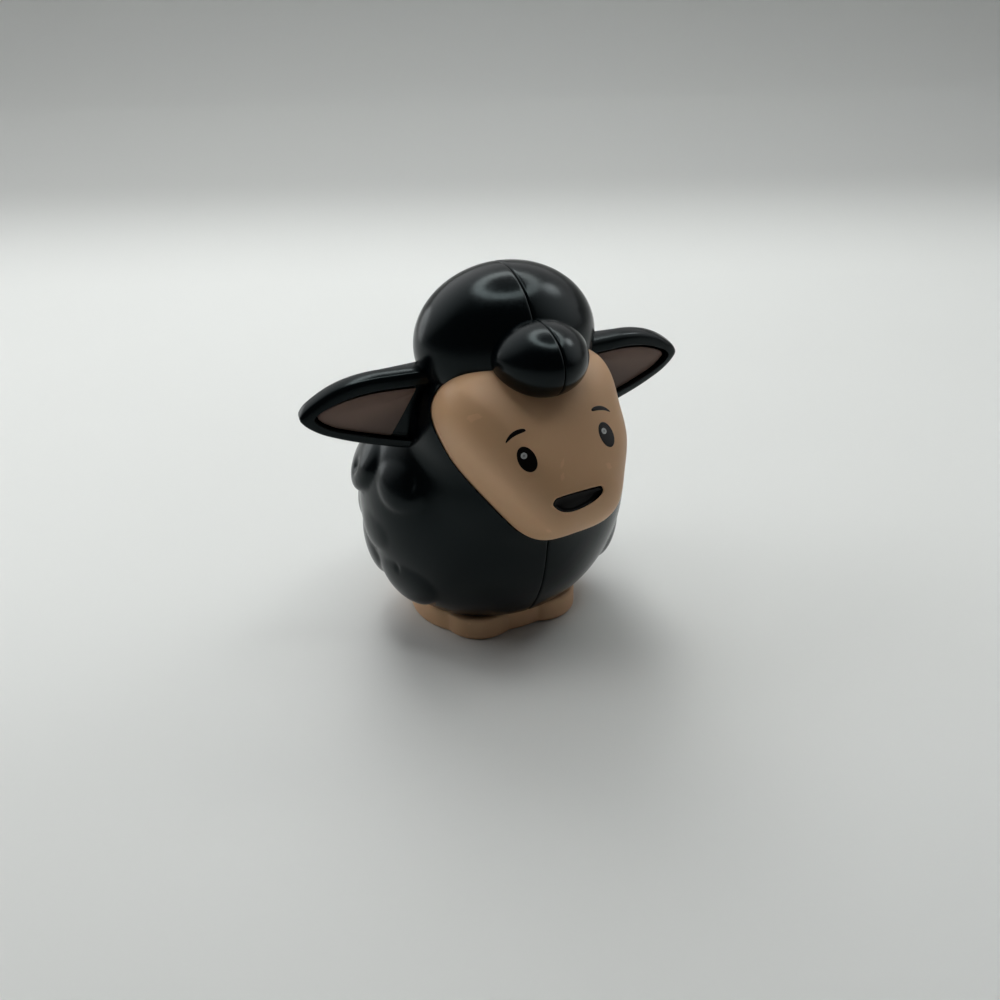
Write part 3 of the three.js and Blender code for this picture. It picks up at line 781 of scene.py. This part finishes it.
def glint_print(surface, side, name):
    """Glint in an eye, with each point's distance from its middle for the finish."""
    spot = (side * EYE_APART / 2 - GLINT_SIDE, GLINT_RISE - EYE_DROP)
    rows = printed(edge=0.1, sunk=0.1, proud=GLINT_PROUD)
    glint = object_of(
        f"{name}_glint_print", laid_on(surface, oval(spot, GLINT_RADIUS, GLINT_RADIUS), spot, rows, 48))
    set_in_face(glint, "glint_grey", f"{name}_eye_glint")
    reach = glint.data.attributes.new("reach", "FLOAT", "POINT")
    centre = FACE_FRAME @ surface.over(*spot, GLINT_PROUD)
    for vert in glint.data.vertices:
        reach.data[vert.index].value = (vert.co - centre).length / (GLINT_RADIUS * MM)


def brow_print(surface, side, name):
    line, middle = brow_line(side)
    brow = object_of(f"{name}_brow_print", laid_on(surface, line, middle, printed(edge=0.12, sunk=0.2)))
    set_in_face(brow, "print_black", f"{name}_brow")


# The ears


def ear_curve(rim):
    """Outline of an ear, drawn in by a share of its rim's width."""
    upper = EAR_UPPER - EAR_RIM[0] * rim
    lower = EAR_LOWER - EAR_RIM[1] * rim
    length = EAR_LENGTH - EAR_RIM[2] * rim
    edge = [
        Vector((
            EAR_ROOT + along * length - EAR_CENTRE,
            up * (upper if up > 0 else lower) - EAR_TIP_DROP * min(rim, 1) * along**3,
            0))
        for along, up in EAR_TOP + EAR_BOTTOM
    ]
    inner = edge[0].x - EAR_ROOT_OVERLAP
    return closed_curve(edge + [Vector((inner, edge[-1].y, 0)), Vector((inner, edge[0].y, 0))])


def ear_place(side):
    """Stands what is drawn flat up at one side of the head."""
    root = side * EAR_ROOT * MM
    return (
        Matrix.Translation((root, -EAR_FORWARD * MM, EAR_MIDDLE[side] * MM))
        @ Matrix.Rotation(-side * EAR_LIFT[side], 4, "Y")
        @ Matrix.Rotation(side * EAR_SWEEP, 4, "Z")
        @ Matrix.Translation((-root, 0, 0))
        @ Matrix.Rotation(pi / 2, 4, "X")
    )


def ear_skin(side, rows, around=144):
    """Closed skin through rows: share of the rim by which the outline is drawn in, spread, height, and
    whether the height is counted from the domed front."""
    bm = bmesh.new()
    curves = {rim: ear_curve(rim) for rim in {row[0] for row in rows} | {0}}

    def place(turn, way):
        rim, spread, up, domed = rows[round(way * (len(rows) - 1))]
        point = curves[rim](turn) * spread
        if not domed and up < -EAR_FRONT:
            away = min(max((point.x + EAR_CENTRE - EAR_ROOT) / EAR_LENGTH / EAR_DEPTH_FADE, 0), 1)
            flat = EAR_ROOT_DEPTH * (1 - away)
            share = (-EAR_FRONT - up) / EAR_BACK
            root = flat * min(share * EAR_ROOT_GROWTH, 1) if point.y > 0 else 0
            up = -EAR_FRONT - max(EAR_BACK * share, root)
        if domed:
            share = min(point.length / curves[0](turn).length, 1)
            level = (1 - share**EAR_FRONT_FULLNESS) ** (1 / EAR_FRONT_FULLNESS)
            up += EAR_FRONT * (level - 1)
            point.y -= EAR_FRONT_DROP * level * max(1 - rim, 0)
        return Vector((side * (point.x + EAR_CENTRE), point.y, up)) * MM

    skin(bm, around, len(rows) - 1, place)
    bmesh.ops.transform(bm, verts=bm.verts[:], matrix=ear_place(side))
    return bm


def leaf_rows(dish):
    """Rows of an ear: its round back, its domed rim and its dish."""
    rows = []
    power = 2 / EAR_BACK_FULLNESS
    for i in range(EAR_BACK_STEPS + 1):
        turn = pi / 2 * (1 - i / EAR_BACK_STEPS)
        flat, deep = cos(turn), sin(turn)
        rows.append((0, flat**power, -EAR_FRONT - EAR_BACK * max(deep, 0) ** power, False))
    rows += [(rim, 1, 0, True) for rim in RIM_OUTLINES]
    rows += [(rim, 1, up, True) for rim, up in RIM_INNER_EDGE]
    rows += [(rim, 1, up - dish, False) for rim, up in DISH_EDGE]
    shares = [1 - i / DISH_STEPS for i in range(DISH_STEPS + 1)]
    return rows + [(DISH_OUTLINE, DISH_SPREAD * share, -dish, False) for share in shares]


def lining_rows(dish):
    """Rows of an ear's lining: its slightly domed front, its edge and its back."""
    front = LINING_FRONT - dish
    back = LINING_BACK - dish
    shares = [i / LINING_STEPS for i in range(LINING_STEPS + 1)]
    rows = [(share * LINING_SPREAD, front + LINING_RISE * (1 - share**2)) for share in shares]
    rows += [(0.985, front - 0.02), (1, front - 0.12), (1, back)]
    rows += [(1 - i / 4, back) for i in range(1, 5)]
    return [(LINING_OUTLINE, spread, up, False) for spread, up in rows]


def add_tab(bm, side):
    """Neck of the ear, from inside the head to the root of the leaf."""
    made = bmesh.ops.create_cube(bm, size=1)["verts"]
    bmesh.ops.scale(bm, verts=made, vec=Vector(TAB_SIZE) * MM)
    out, behind, below = TAB_MIDDLE
    place = Vector((side * out, behind - EAR_FORWARD, EAR_MIDDLE[side] - below)) * MM
    bmesh.ops.translate(bm, verts=made, vec=place)
    edges = list({edge for vert in made for edge in vert.link_edges})
    round_edges(bm, edges, TAB_EDGE * MM, 3)


def ear_leaf(side, name, dish):
    leaf = ear_skin(side, leaf_rows(dish))
    root = (side * (EAR_ROOT - EAR_ROOT_TUCK) * MM, 0, 0)
    round_edges(leaf, slice_off(leaf, root, (side, 0, 0)), EAR_EDGE * MM, 3, clamp=True)
    add_tab(leaf, side)
    turn_outwards(leaf)
    dress(object_of(f"{name}_ear_leaf", leaf), "wool_black", f"{name}_ear")


def ear_lining(side, name, dish):
    """Lining of an ear, cut on the slant at its root."""
    lining = ear_skin(side, lining_rows(dish))
    stand = ear_place(side)
    slant = Vector((side * (EAR_UPPER + EAR_LOWER), LINING_ROOT_BOTTOM - LINING_ROOT_TOP, 0))
    towards = (stand.to_3x3() @ slant).normalized()
    top = stand @ (Vector((side * (EAR_ROOT + LINING_ROOT_TOP), EAR_UPPER, -1)) * MM)
    round_edges(lining, slice_off(lining, top, towards), LINING_EDGE * MM, 2, clamp=True)
    turn_outwards(lining)
    dress(object_of(f"{name}_ear_paint", lining), "ear_lining", f"{name}_ear_lining")


# The base


def slab(bm, x, y, wide, deep, squareness, radius):
    """Flat slab with rounded edges, round or squarish from above."""
    made = bmesh.ops.create_circle(bm, cap_ends=True, radius=1, segments=96)["verts"]
    for vert in made:
        across, back = vert.co.x, vert.co.y
        vert.co = Vector((
            x + wide * copysign(abs(across) ** (2 / squareness), across),
            y + deep * copysign(abs(back) ** (2 / squareness), back),
            0)) * MM
    upper = bmesh.ops.extrude_face_region(bm, geom=[made[0].link_faces[0]])["geom"]
    raised = of_kind(bmesh.types.BMVert, upper)
    bmesh.ops.translate(bm, verts=raised, vec=(0, 0, (ANKLE - BASE_TOP_GAP) * MM))
    rims = of_kind(bmesh.types.BMEdge, upper)
    rims += [edge for vert in made for edge in vert.link_edges if edge.other_vert(vert) in made]
    round_edges(bm, list(set(rims)), radius, 5)
    turn_outwards(bm)


def feet_and_base(settings):
    bm = bmesh.new()
    slab(bm, 0, 0, *BASE_REACH, BASE_SQUARENESS, settings.edge)
    for sideways, along, radius in FEET:
        for side, _ in SIDES:
            slab(bm, side * sideways, along, radius, radius, FOOT_SQUARENESS, settings.edge)
    base = run_together("feet_and_base", bm, BASE_GRAIN * MM, BASE_SOFTEN)
    for vert in base.data.vertices:
        vert.co.z = max(vert.co.z, 0)
    for face in base.data.polygons:
        face.use_smooth = True
    return base


# Finishes


def node(tree, kind, inputs=(), **settings):
    """A new node. Its inputs are linked to a socket or set to a value, by name or by number."""
    made = tree.nodes.new("ShaderNode" + kind)
    for key, value in settings.items():
        setattr(made, key, value)
    for key, value in dict(inputs).items():
        if isinstance(value, bpy.types.NodeSocket):
            tree.links.new(value, made.inputs[key])
        else:
            made.inputs[key].default_value = value
    return made


def noise(where, scale, detail=2, roughness=0.5):
    return node(
        where.id_data, "TexNoise",
        {"Vector": where, "Scale": scale, "Detail": detail, "Roughness": roughness}).outputs["Fac"]


def ranged(value, low, high, to_low, to_high, smooth=False):
    """Carries low to high over to another range, and holds what lies outside."""
    return node(
        value.id_data, "MapRange",
        {"Value": value, "From Min": low, "From Max": high, "To Min": to_low, "To Max": to_high},
        clamp=True, interpolation_type="SMOOTHSTEP" if smooth else "LINEAR").outputs["Result"]


def sums(kind, first, second):
    return node(first.id_data, "Math", {0: first, 1: second}, operation=kind).outputs[0]


def along(where, way):
    """How far a place lies along a direction."""
    return node(where.id_data, "VectorMath", {0: where, 1: way}, operation="DOT_PRODUCT").outputs["Value"]


def mixed(share, first, second):
    return node(share.id_data, "Mix", {0: share, 6: first, 7: second}, data_type="RGBA").outputs[2]


def on_object(tree):
    return node(tree, "TexCoord").outputs["Object"]


def coordinate(where, axis):
    return node(where.id_data, "SeparateXYZ", {"Vector": where}).outputs[axis]


def link(value, target):
    target.id_data.links.new(value, target)


def tone(colour, share, shift=(1, 1, 1)):
    return (*[part * share * move for part, move in zip(colour, shift)], 1)


def new_material(name):
    made = bpy.data.materials.new(name)
    made.use_nodes = True
    return made, made.node_tree


def plastic_colour(where, colour, mottle):
    """A colour with faint clouds, a little paler along crisp edges, partly as edge wear and partly as a
    painted sheen.
    """
    clouds = ranged(noise(where, CLOUD_SCALE, 3), 0.3, 0.7, 0, 1)
    base = mixed(clouds, tone(colour, 1 - mottle), tone(colour, 1 + mottle, (1, 1.01, 1.03)))
    crisp = node(where.id_data, "NewGeometry").outputs["Pointiness"]
    # Paler crisp edges: partly edge wear, partly a painted sheen
    edges = ranged(crisp, 0.53, 0.6, 0, 0.35)
    return mixed(edges, base, tone([part * 1.3 + 0.004 for part in colour], 1))


def plastic_gloss(where, gloss, specks):
    """A roughness with fine specks, hairline scratches and wiped patches."""
    fine = ranged(specks, 0.35, 0.65, -0.02, 0.02)
    drawn = node(where.id_data, "Mapping", {"Vector": where, "Scale": HAIR_STRETCH}).outputs["Vector"]
    scratches = ranged(noise(drawn, 1, 3, 0.55), 0.62, 0.75, 0, 0.015)
    rough = sums("ADD", sums("ADD", fine, scratches), gloss)
    wipe = ranged(noise(where, WIPE_SCALE, 4, 0.6), 0.3, 0.7, -0.035, 0.045)
    return sums("ADD", rough, wipe)


def plastic(name, colour, gloss, mottle, peel, grit, **inputs):
    """Moulded plastic. Mottle, peel and grit say how strong its clouds, soft waves and fine skin are."""
    made, tree = new_material(name)
    where = on_object(tree)
    specks = noise(where, SPECK_SCALE, 2, 0.6)
    soft = node(tree, "Bump", {
        "Height": noise(where, PEEL_SCALE, 2), "Strength": peel, "Distance": PEEL_HEIGHT * MM})
    fine = node(tree, "Bump", {
        "Height": specks, "Strength": grit, "Distance": GRIT_HEIGHT * MM, "Normal": soft.outputs["Normal"]})
    shader = tree.nodes["Principled BSDF"].inputs
    link(plastic_colour(where, colour, mottle), shader["Base Color"])
    link(plastic_gloss(where, gloss, specks), shader["Roughness"])
    link(fine.outputs["Normal"], shader["Normal"])
    for key, value in inputs.items():
        shader[key.replace("_", " ")].default_value = value
    return made


def shaded(made, share, colour, darkness):
    """Lays a darker tone of a colour over a plastic by a share."""
    base = made.node_tree.nodes["Principled BSDF"].inputs["Base Color"]
    link(mixed(share, base.links[0].from_socket, tone(colour, darkness)), base)
    return made


def finish_wool(settings):
    return plastic(
        "black_plastic", settings.shell.colour, gloss=0.2, mottle=0.16, peel=0.2, grit=0.3, IOR=1.28,
        Specular_Tint=WOOL_SHEEN)


def finish_skin(settings):
    return plastic(
        "tan_plastic", settings.face.colour, gloss=0.45, mottle=0.03, peel=0.15, grit=0.4, IOR=1.38,
        Subsurface_Weight=0.12, Subsurface_Radius=(1, 0.45, 0.25), Subsurface_Scale=0.0012)


def finish_lining(settings):
    """Painted plastic, with painted shading that darkens it near the root and low down."""
    colour = settings.ears.lining_colour
    made = plastic("ear_paint", colour, gloss=0.4, mottle=0.08, peel=0.2, grit=0.6, IOR=1.36)
    where = on_object(made.node_tree)
    # Painted shading: the lining darkens near its root, by the head, and low down
    away = ranged(sums("ABSOLUTE", coordinate(where, "X"), 0), 14 * MM, 31 * MM, 0, 0.6)
    up = ranged(coordinate(where, "Z"), 39.5 * MM, 45.5 * MM, 0, 0.6)
    painted_root_shading = ranged(sums("ADD", away, up), 0.15, 0.75, 0.65, 0, smooth=True)
    return shaded(made, painted_root_shading, colour, 0.2)


def finish_print(settings):
    return plastic(
        "black_print", settings.face.print_colour, gloss=0.2, mottle=0.1, peel=0.1, grit=0.25, IOR=1.27)


def finish_glint(settings):
    """Pale print with a greyer middle."""
    colour = settings.face.glint_colour
    made = plastic("glint_print", colour, gloss=0.25, mottle=0.05, peel=0.1, grit=0.25)
    reach = node(made.node_tree, "Attribute", attribute_name="reach").outputs["Fac"]
    return shaded(made, ranged(reach, 0.15, 0.6, 0.75, 0, smooth=True), colour, 0.22)


# Each slot's material, and the function that makes it
FINISHES = {
    "wool_black": ("black_plastic", finish_wool),
    "skin_tan": ("tan_plastic", finish_skin),
    "ear_lining": ("ear_paint", finish_lining),
    "print_black": ("black_print", finish_print),
    "glint_grey": ("glint_print", finish_glint),
}


def dress(piece, slot, *nodes):
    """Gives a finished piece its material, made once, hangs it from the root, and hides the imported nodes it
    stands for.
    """
    name, make = FINISHES[slot]
    material = bpy.data.materials.get(name) or make(bpy.context.scene.toy_sheep)
    piece.data.materials.clear()
    piece.data.materials.append(material)
    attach(piece, "root")
    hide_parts(*nodes)


# The stage


def floor(settings):
    """Wide floor, and on it a sheet of paper that curves up behind the figure."""
    made = paper(settings)
    bm = bmesh.new()
    bmesh.ops.create_grid(bm, x_segments=2, y_segments=2, size=FLOOR_HALF_WIDTH)
    bmesh.ops.translate(bm, verts=bm.verts[:], vec=(0, 0, -FLOOR_DROP))
    for piece in (object_of("floor", bm, smooth=False), sweep(settings)):
        piece.data.materials.append(made)


def sweep(settings):
    """The sheet of paper, with its faces towards the camera."""
    bm = bmesh.new()
    flat, radius = settings.sweep_distance, settings.sweep_radius
    profile = [(PAPER_NEAR_END, 0), (flat, 0)]
    for i in range(1, PAPER_CURVE_STEPS + 1):
        turn = pi / 2 * i / PAPER_CURVE_STEPS
        profile.append((flat + radius * sin(turn), radius * (1 - cos(turn))))
    profile.append((flat + radius, PAPER_TOP))
    _, line = drawn_line(bm, [(-PAPER_HALF_WIDTH, away, up) for away, up in profile])
    wide = bmesh.ops.extrude_edge_only(bm, edges=line)["geom"]
    moved = of_kind(bmesh.types.BMVert, wide)
    bmesh.ops.translate(bm, verts=moved, vec=(2 * PAPER_HALF_WIDTH, 0, 0))
    turned = Matrix.Rotation(-CAMERA_AZIMUTH, 3, "Z")
    bmesh.ops.rotate(bm, verts=bm.verts[:], matrix=turned)
    bm.normal_update()
    behind = turned.col[1]
    turned_away = [face for face in bm.faces if face.normal.z < -1e-4 or face.normal.dot(behind) > 1e-4]
    bmesh.ops.reverse_faces(bm, faces=turned_away)
    return object_of("paper_sweep", bm)


def paper(settings):
    """Pale paper, seen through from behind, with painted shading that darkens it where it curves up and
    closer to the camera.
    """
    colour = settings.floor_colour
    made, tree = new_material("floor_paper")
    where = on_object(tree)
    clouds = ranged(noise(where, 6, 3), 0.3, 0.7, 0, 1)
    base = mixed(clouds, tone(colour, 0.985), tone(colour, 1.01))
    # Painted shading: darker where the paper curves up, and on paper and floor closer to the camera
    rise = ranged(coordinate(where, "Z"), 0, PAPER_SHADE_HEIGHT, 0, 1, smooth=True)
    base = mixed(rise, base, tone(colour, 0.7))
    painted_near_shading = ranged(along(where, PAPER_NEAR_WAY), *PAPER_NEAR_SHADE, 1, 0, smooth=True)
    base = mixed(painted_near_shading, base, tone(colour, 0.88))
    shader = tree.nodes["Principled BSDF"]
    link(base, shader.inputs["Base Color"])
    shader.inputs["Roughness"].default_value = 0.75
    behind = node(tree, "NewGeometry").outputs["Backfacing"]
    clear = node(tree, "BsdfTransparent").outputs["BSDF"]
    either = node(tree, "MixShader", {0: behind, 1: shader.outputs["BSDF"], 2: clear})
    link(either.outputs[0], tree.nodes["Material Output"].inputs["Surface"])
    return made


def ring_light(settings):
    """Glowing ring above the figure: one is seen only in reflections, and a like one only lights."""
    bm = bmesh.new()
    away = settings.ring_distance
    for degrees in RING_HALF_ANGLES:
        bmesh.ops.create_circle(bm, radius=away * tan(radians(degrees)), segments=128)
    bmesh.ops.bridge_loops(bm, edges=bm.edges[:])
    turn = RING_AIM.to_track_quat("Z", "Y").to_matrix().to_4x4()
    place = Matrix.Translation(RING_MIDDLE + RING_AIM * away) @ turn
    bmesh.ops.transform(bm, verts=bm.verts[:], matrix=place)
    ring = object_of("ring_light", bm, smooth=False)
    fill = in_scene("ring_fill", ring.data.copy())
    for piece, share in ((ring, 1), (fill, settings.fill_share)):
        piece.data.materials.append(ring_glow(settings.ring_power * share))
        piece.visible_camera = False
    ring.visible_diffuse = False
    fill.visible_glossy = False


def ring_glow(power):
    """Glow that dims towards the ring's right."""
    made, tree = new_material("ring_glow")
    tree.nodes.remove(tree.nodes["Principled BSDF"])
    where = on_object(tree)
    shares = [power * share for share in RING_SHARES]
    strength = ranged(along(where, RING_DIM_WAY), *RING_DIM_REACH, *shares)
    glow = node(tree, "Emission", {"Color": RING_COLOUR, "Strength": strength})
    link(glow.outputs["Emission"], tree.nodes["Material Output"].inputs["Surface"])
    return made


def lamp(name, aim, away, wide, power, passed_by):
    """Soft round lamp that lights the cap from a direction."""
    light = bpy.data.lights.new(name, "AREA")
    light.shape = "DISK"
    light.size = wide
    light.energy = power
    made = in_scene(name, light)
    aim = Vector(aim).normalized()
    made.location = LAMP_MIDDLE + aim * away
    made.rotation_euler = aim.to_track_quat("Z", "Y").to_euler()
    setattr(made, passed_by, False)


def surroundings(scene, settings):
    """Pale sweep behind the figure and darkness behind the camera, as the shiny cap reflects them."""
    world = bpy.data.worlds.new("backdrop")
    scene.world = world
    world.use_nodes = True
    tree = world.node_tree
    where = node(tree, "TexCoord").outputs["Generated"]

    def glow(way, low, power):
        return ranged(along(where, way), low, 1, 0, power)

    sides = sums("ADD", glow(*GLOW_LEFT), glow(*GLOW_RIGHT))
    lit = sums("MAXIMUM", glow(*GLOW_BEHIND), sides)
    lit = sums("MULTIPLY", sums("ADD", lit, SKY_EVERYWHERE), settings.sky_power)
    rays = node(tree, "LightPath").outputs
    lit = sums("MULTIPLY", lit, ranged(rays["Is Diffuse Ray"], 0, 1, SKY_REFLECTED, SKY_FALLING))
    seen = rays["Is Camera Ray"]
    background = tree.nodes["Background"].inputs
    link(mixed(seen, (1, 1, 1, 1), BACKDROP_COLOUR), background["Color"])
    link(sums("MAXIMUM", lit, seen), background["Strength"])


def camera(scene):
    turn, dip, roll = CAMERA_AZIMUTH, CAMERA_PITCH, CAMERA_ROLL
    ahead = Vector((sin(turn) * cos(dip), cos(turn) * cos(dip), -sin(dip)))
    level = Vector((cos(turn), -sin(turn), 0))
    up = level.cross(ahead)
    right = level * cos(roll) + up * sin(roll)
    above = up * cos(roll) - level * sin(roll)
    lens = bpy.data.cameras.new("camera")
    lens.sensor_width = CAMERA_SENSOR
    lens.lens = CAMERA_LENS
    lens.clip_start = 0.01
    lens.clip_end = 50
    made = in_scene("camera", lens)
    turned = Matrix((right, above, -ahead)).transposed().to_4x4()
    made.matrix_world = Matrix.Translation(CAMERA_PLACE) @ turned
    scene.camera = made


# Operators


class SHEEP_OT_shell(Operator):
    """Make the two black halves with the woolly cap, the tufts and the tail"""

    bl_idname = "sheep.shell"
    bl_label = "Black shell"

    def execute(self, context):
        settings = context.scene.toy_sheep.shell
        body = blended_body(settings)
        for side, name in SIDES:
            dress(shell_half(body, side, name, settings), "wool_black", f"{name}_shell")
        discard(body)
        return {"FINISHED"}


class SHEEP_OT_face(Operator):
    """Make the tan face with its recessed mouth"""

    bl_idname = "sheep.face"
    bl_label = "Face and mouth"

    def execute(self, context):
        depth = context.scene.toy_sheep.face.mouth_depth / MM
        surface = Surface()
        face = object_of("face_plate", pebble(0))
        cut(face, mouth_piece("mouth_recess", surface, recess_rows(depth)))
        set_in_face(face, "skin_tan", "face")
        mouth = mouth_piece("mouth_lining", surface, lining_of_mouth_rows(depth))
        set_in_face(mouth, "print_black", "mouth")
        return {"FINISHED"}


class SHEEP_OT_prints(Operator):
    """Print the eyes, their glints and the brows on the face"""

    bl_idname = "sheep.prints"
    bl_label = "Eyes and brows"

    def execute(self, context):
        surface = Surface()
        for side, name in SIDES:
            eye_print(surface, side, name, context.scene.toy_sheep.face)
            glint_print(surface, side, name)
            brow_print(surface, side, name)
        return {"FINISHED"}


class SHEEP_OT_ears(Operator):
    """Make the ears, each a dished leaf with a painted lining and a tab at its root"""

    bl_idname = "sheep.ears"
    bl_label = "Ears"

    def execute(self, context):
        dish = context.scene.toy_sheep.ears.dish / MM
        for side, name in SIDES:
            ear_leaf(side, name, dish)
            ear_lining(side, name, dish)
        return {"FINISHED"}


class SHEEP_OT_base(Operator):
    """Make the tan base with its four feet"""

    bl_idname = "sheep.base"
    bl_label = "Base and feet"

    def execute(self, context):
        dress(feet_and_base(context.scene.toy_sheep.base), "skin_tan", "feet_base")
        return {"FINISHED"}


class SHEEP_OT_stage(Operator):
    """Make the floor, the lights and the camera"""

    bl_idname = "sheep.stage"
    bl_label = "Floor, lights and camera"

    def execute(self, context):
        settings = context.scene.toy_sheep.stage
        floor(settings)
        ring_light(settings)
        for name, values in LAMPS.items():
            lamp(name, *values)
        lamp("back_light", *BACK_LAMP, settings.back_power, "visible_glossy")
        surroundings(context.scene, settings)
        camera(context.scene)
        context.scene.view_settings.view_transform = "Standard"
        context.scene.view_settings.look = "None"
        return {"FINISHED"}


STEPS = (SHEEP_OT_shell, SHEEP_OT_face, SHEEP_OT_prints, SHEEP_OT_ears, SHEEP_OT_base, SHEEP_OT_stage)


class SHEEP_PT_panel(Panel):
    bl_idname = "SHEEP_PT_panel"
    bl_label = "Toy sheep"
    bl_space_type = "VIEW_3D"
    bl_region_type = "UI"
    bl_category = "Toy sheep"

    def draw(self, context):
        for title in ("Shell", "Face", "Ears", "Base", "Stage"):
            settings = getattr(context.scene.toy_sheep, title.lower())
            box = self.layout.box()
            box.label(text=title)
            for name in settings.bl_rna.properties.keys():
                if name not in ("rna_type", "name"):
                    box.prop(settings, name)
        for step in STEPS:
            self.layout.operator(step.bl_idname)


GROUPS = (ShellSettings, FaceSettings, EarSettings, BaseSettings, StageSettings, SheepSettings)
CLASSES = (*GROUPS, *STEPS, SHEEP_PT_panel)


def register():
    for made in CLASSES:
        bpy.utils.register_class(made)
    bpy.types.Scene.toy_sheep = PointerProperty(type=SheepSettings)


def unregister():
    del bpy.types.Scene.toy_sheep
    for made in reversed(CLASSES):
        bpy.utils.unregister_class(made)


def main():
    register()
    bpy.ops.sheep.shell()
    bpy.ops.sheep.face()
    bpy.ops.sheep.prints()
    bpy.ops.sheep.ears()
    bpy.ops.sheep.base()
    bpy.ops.sheep.stage()


if __name__ == "__main__":
    main()
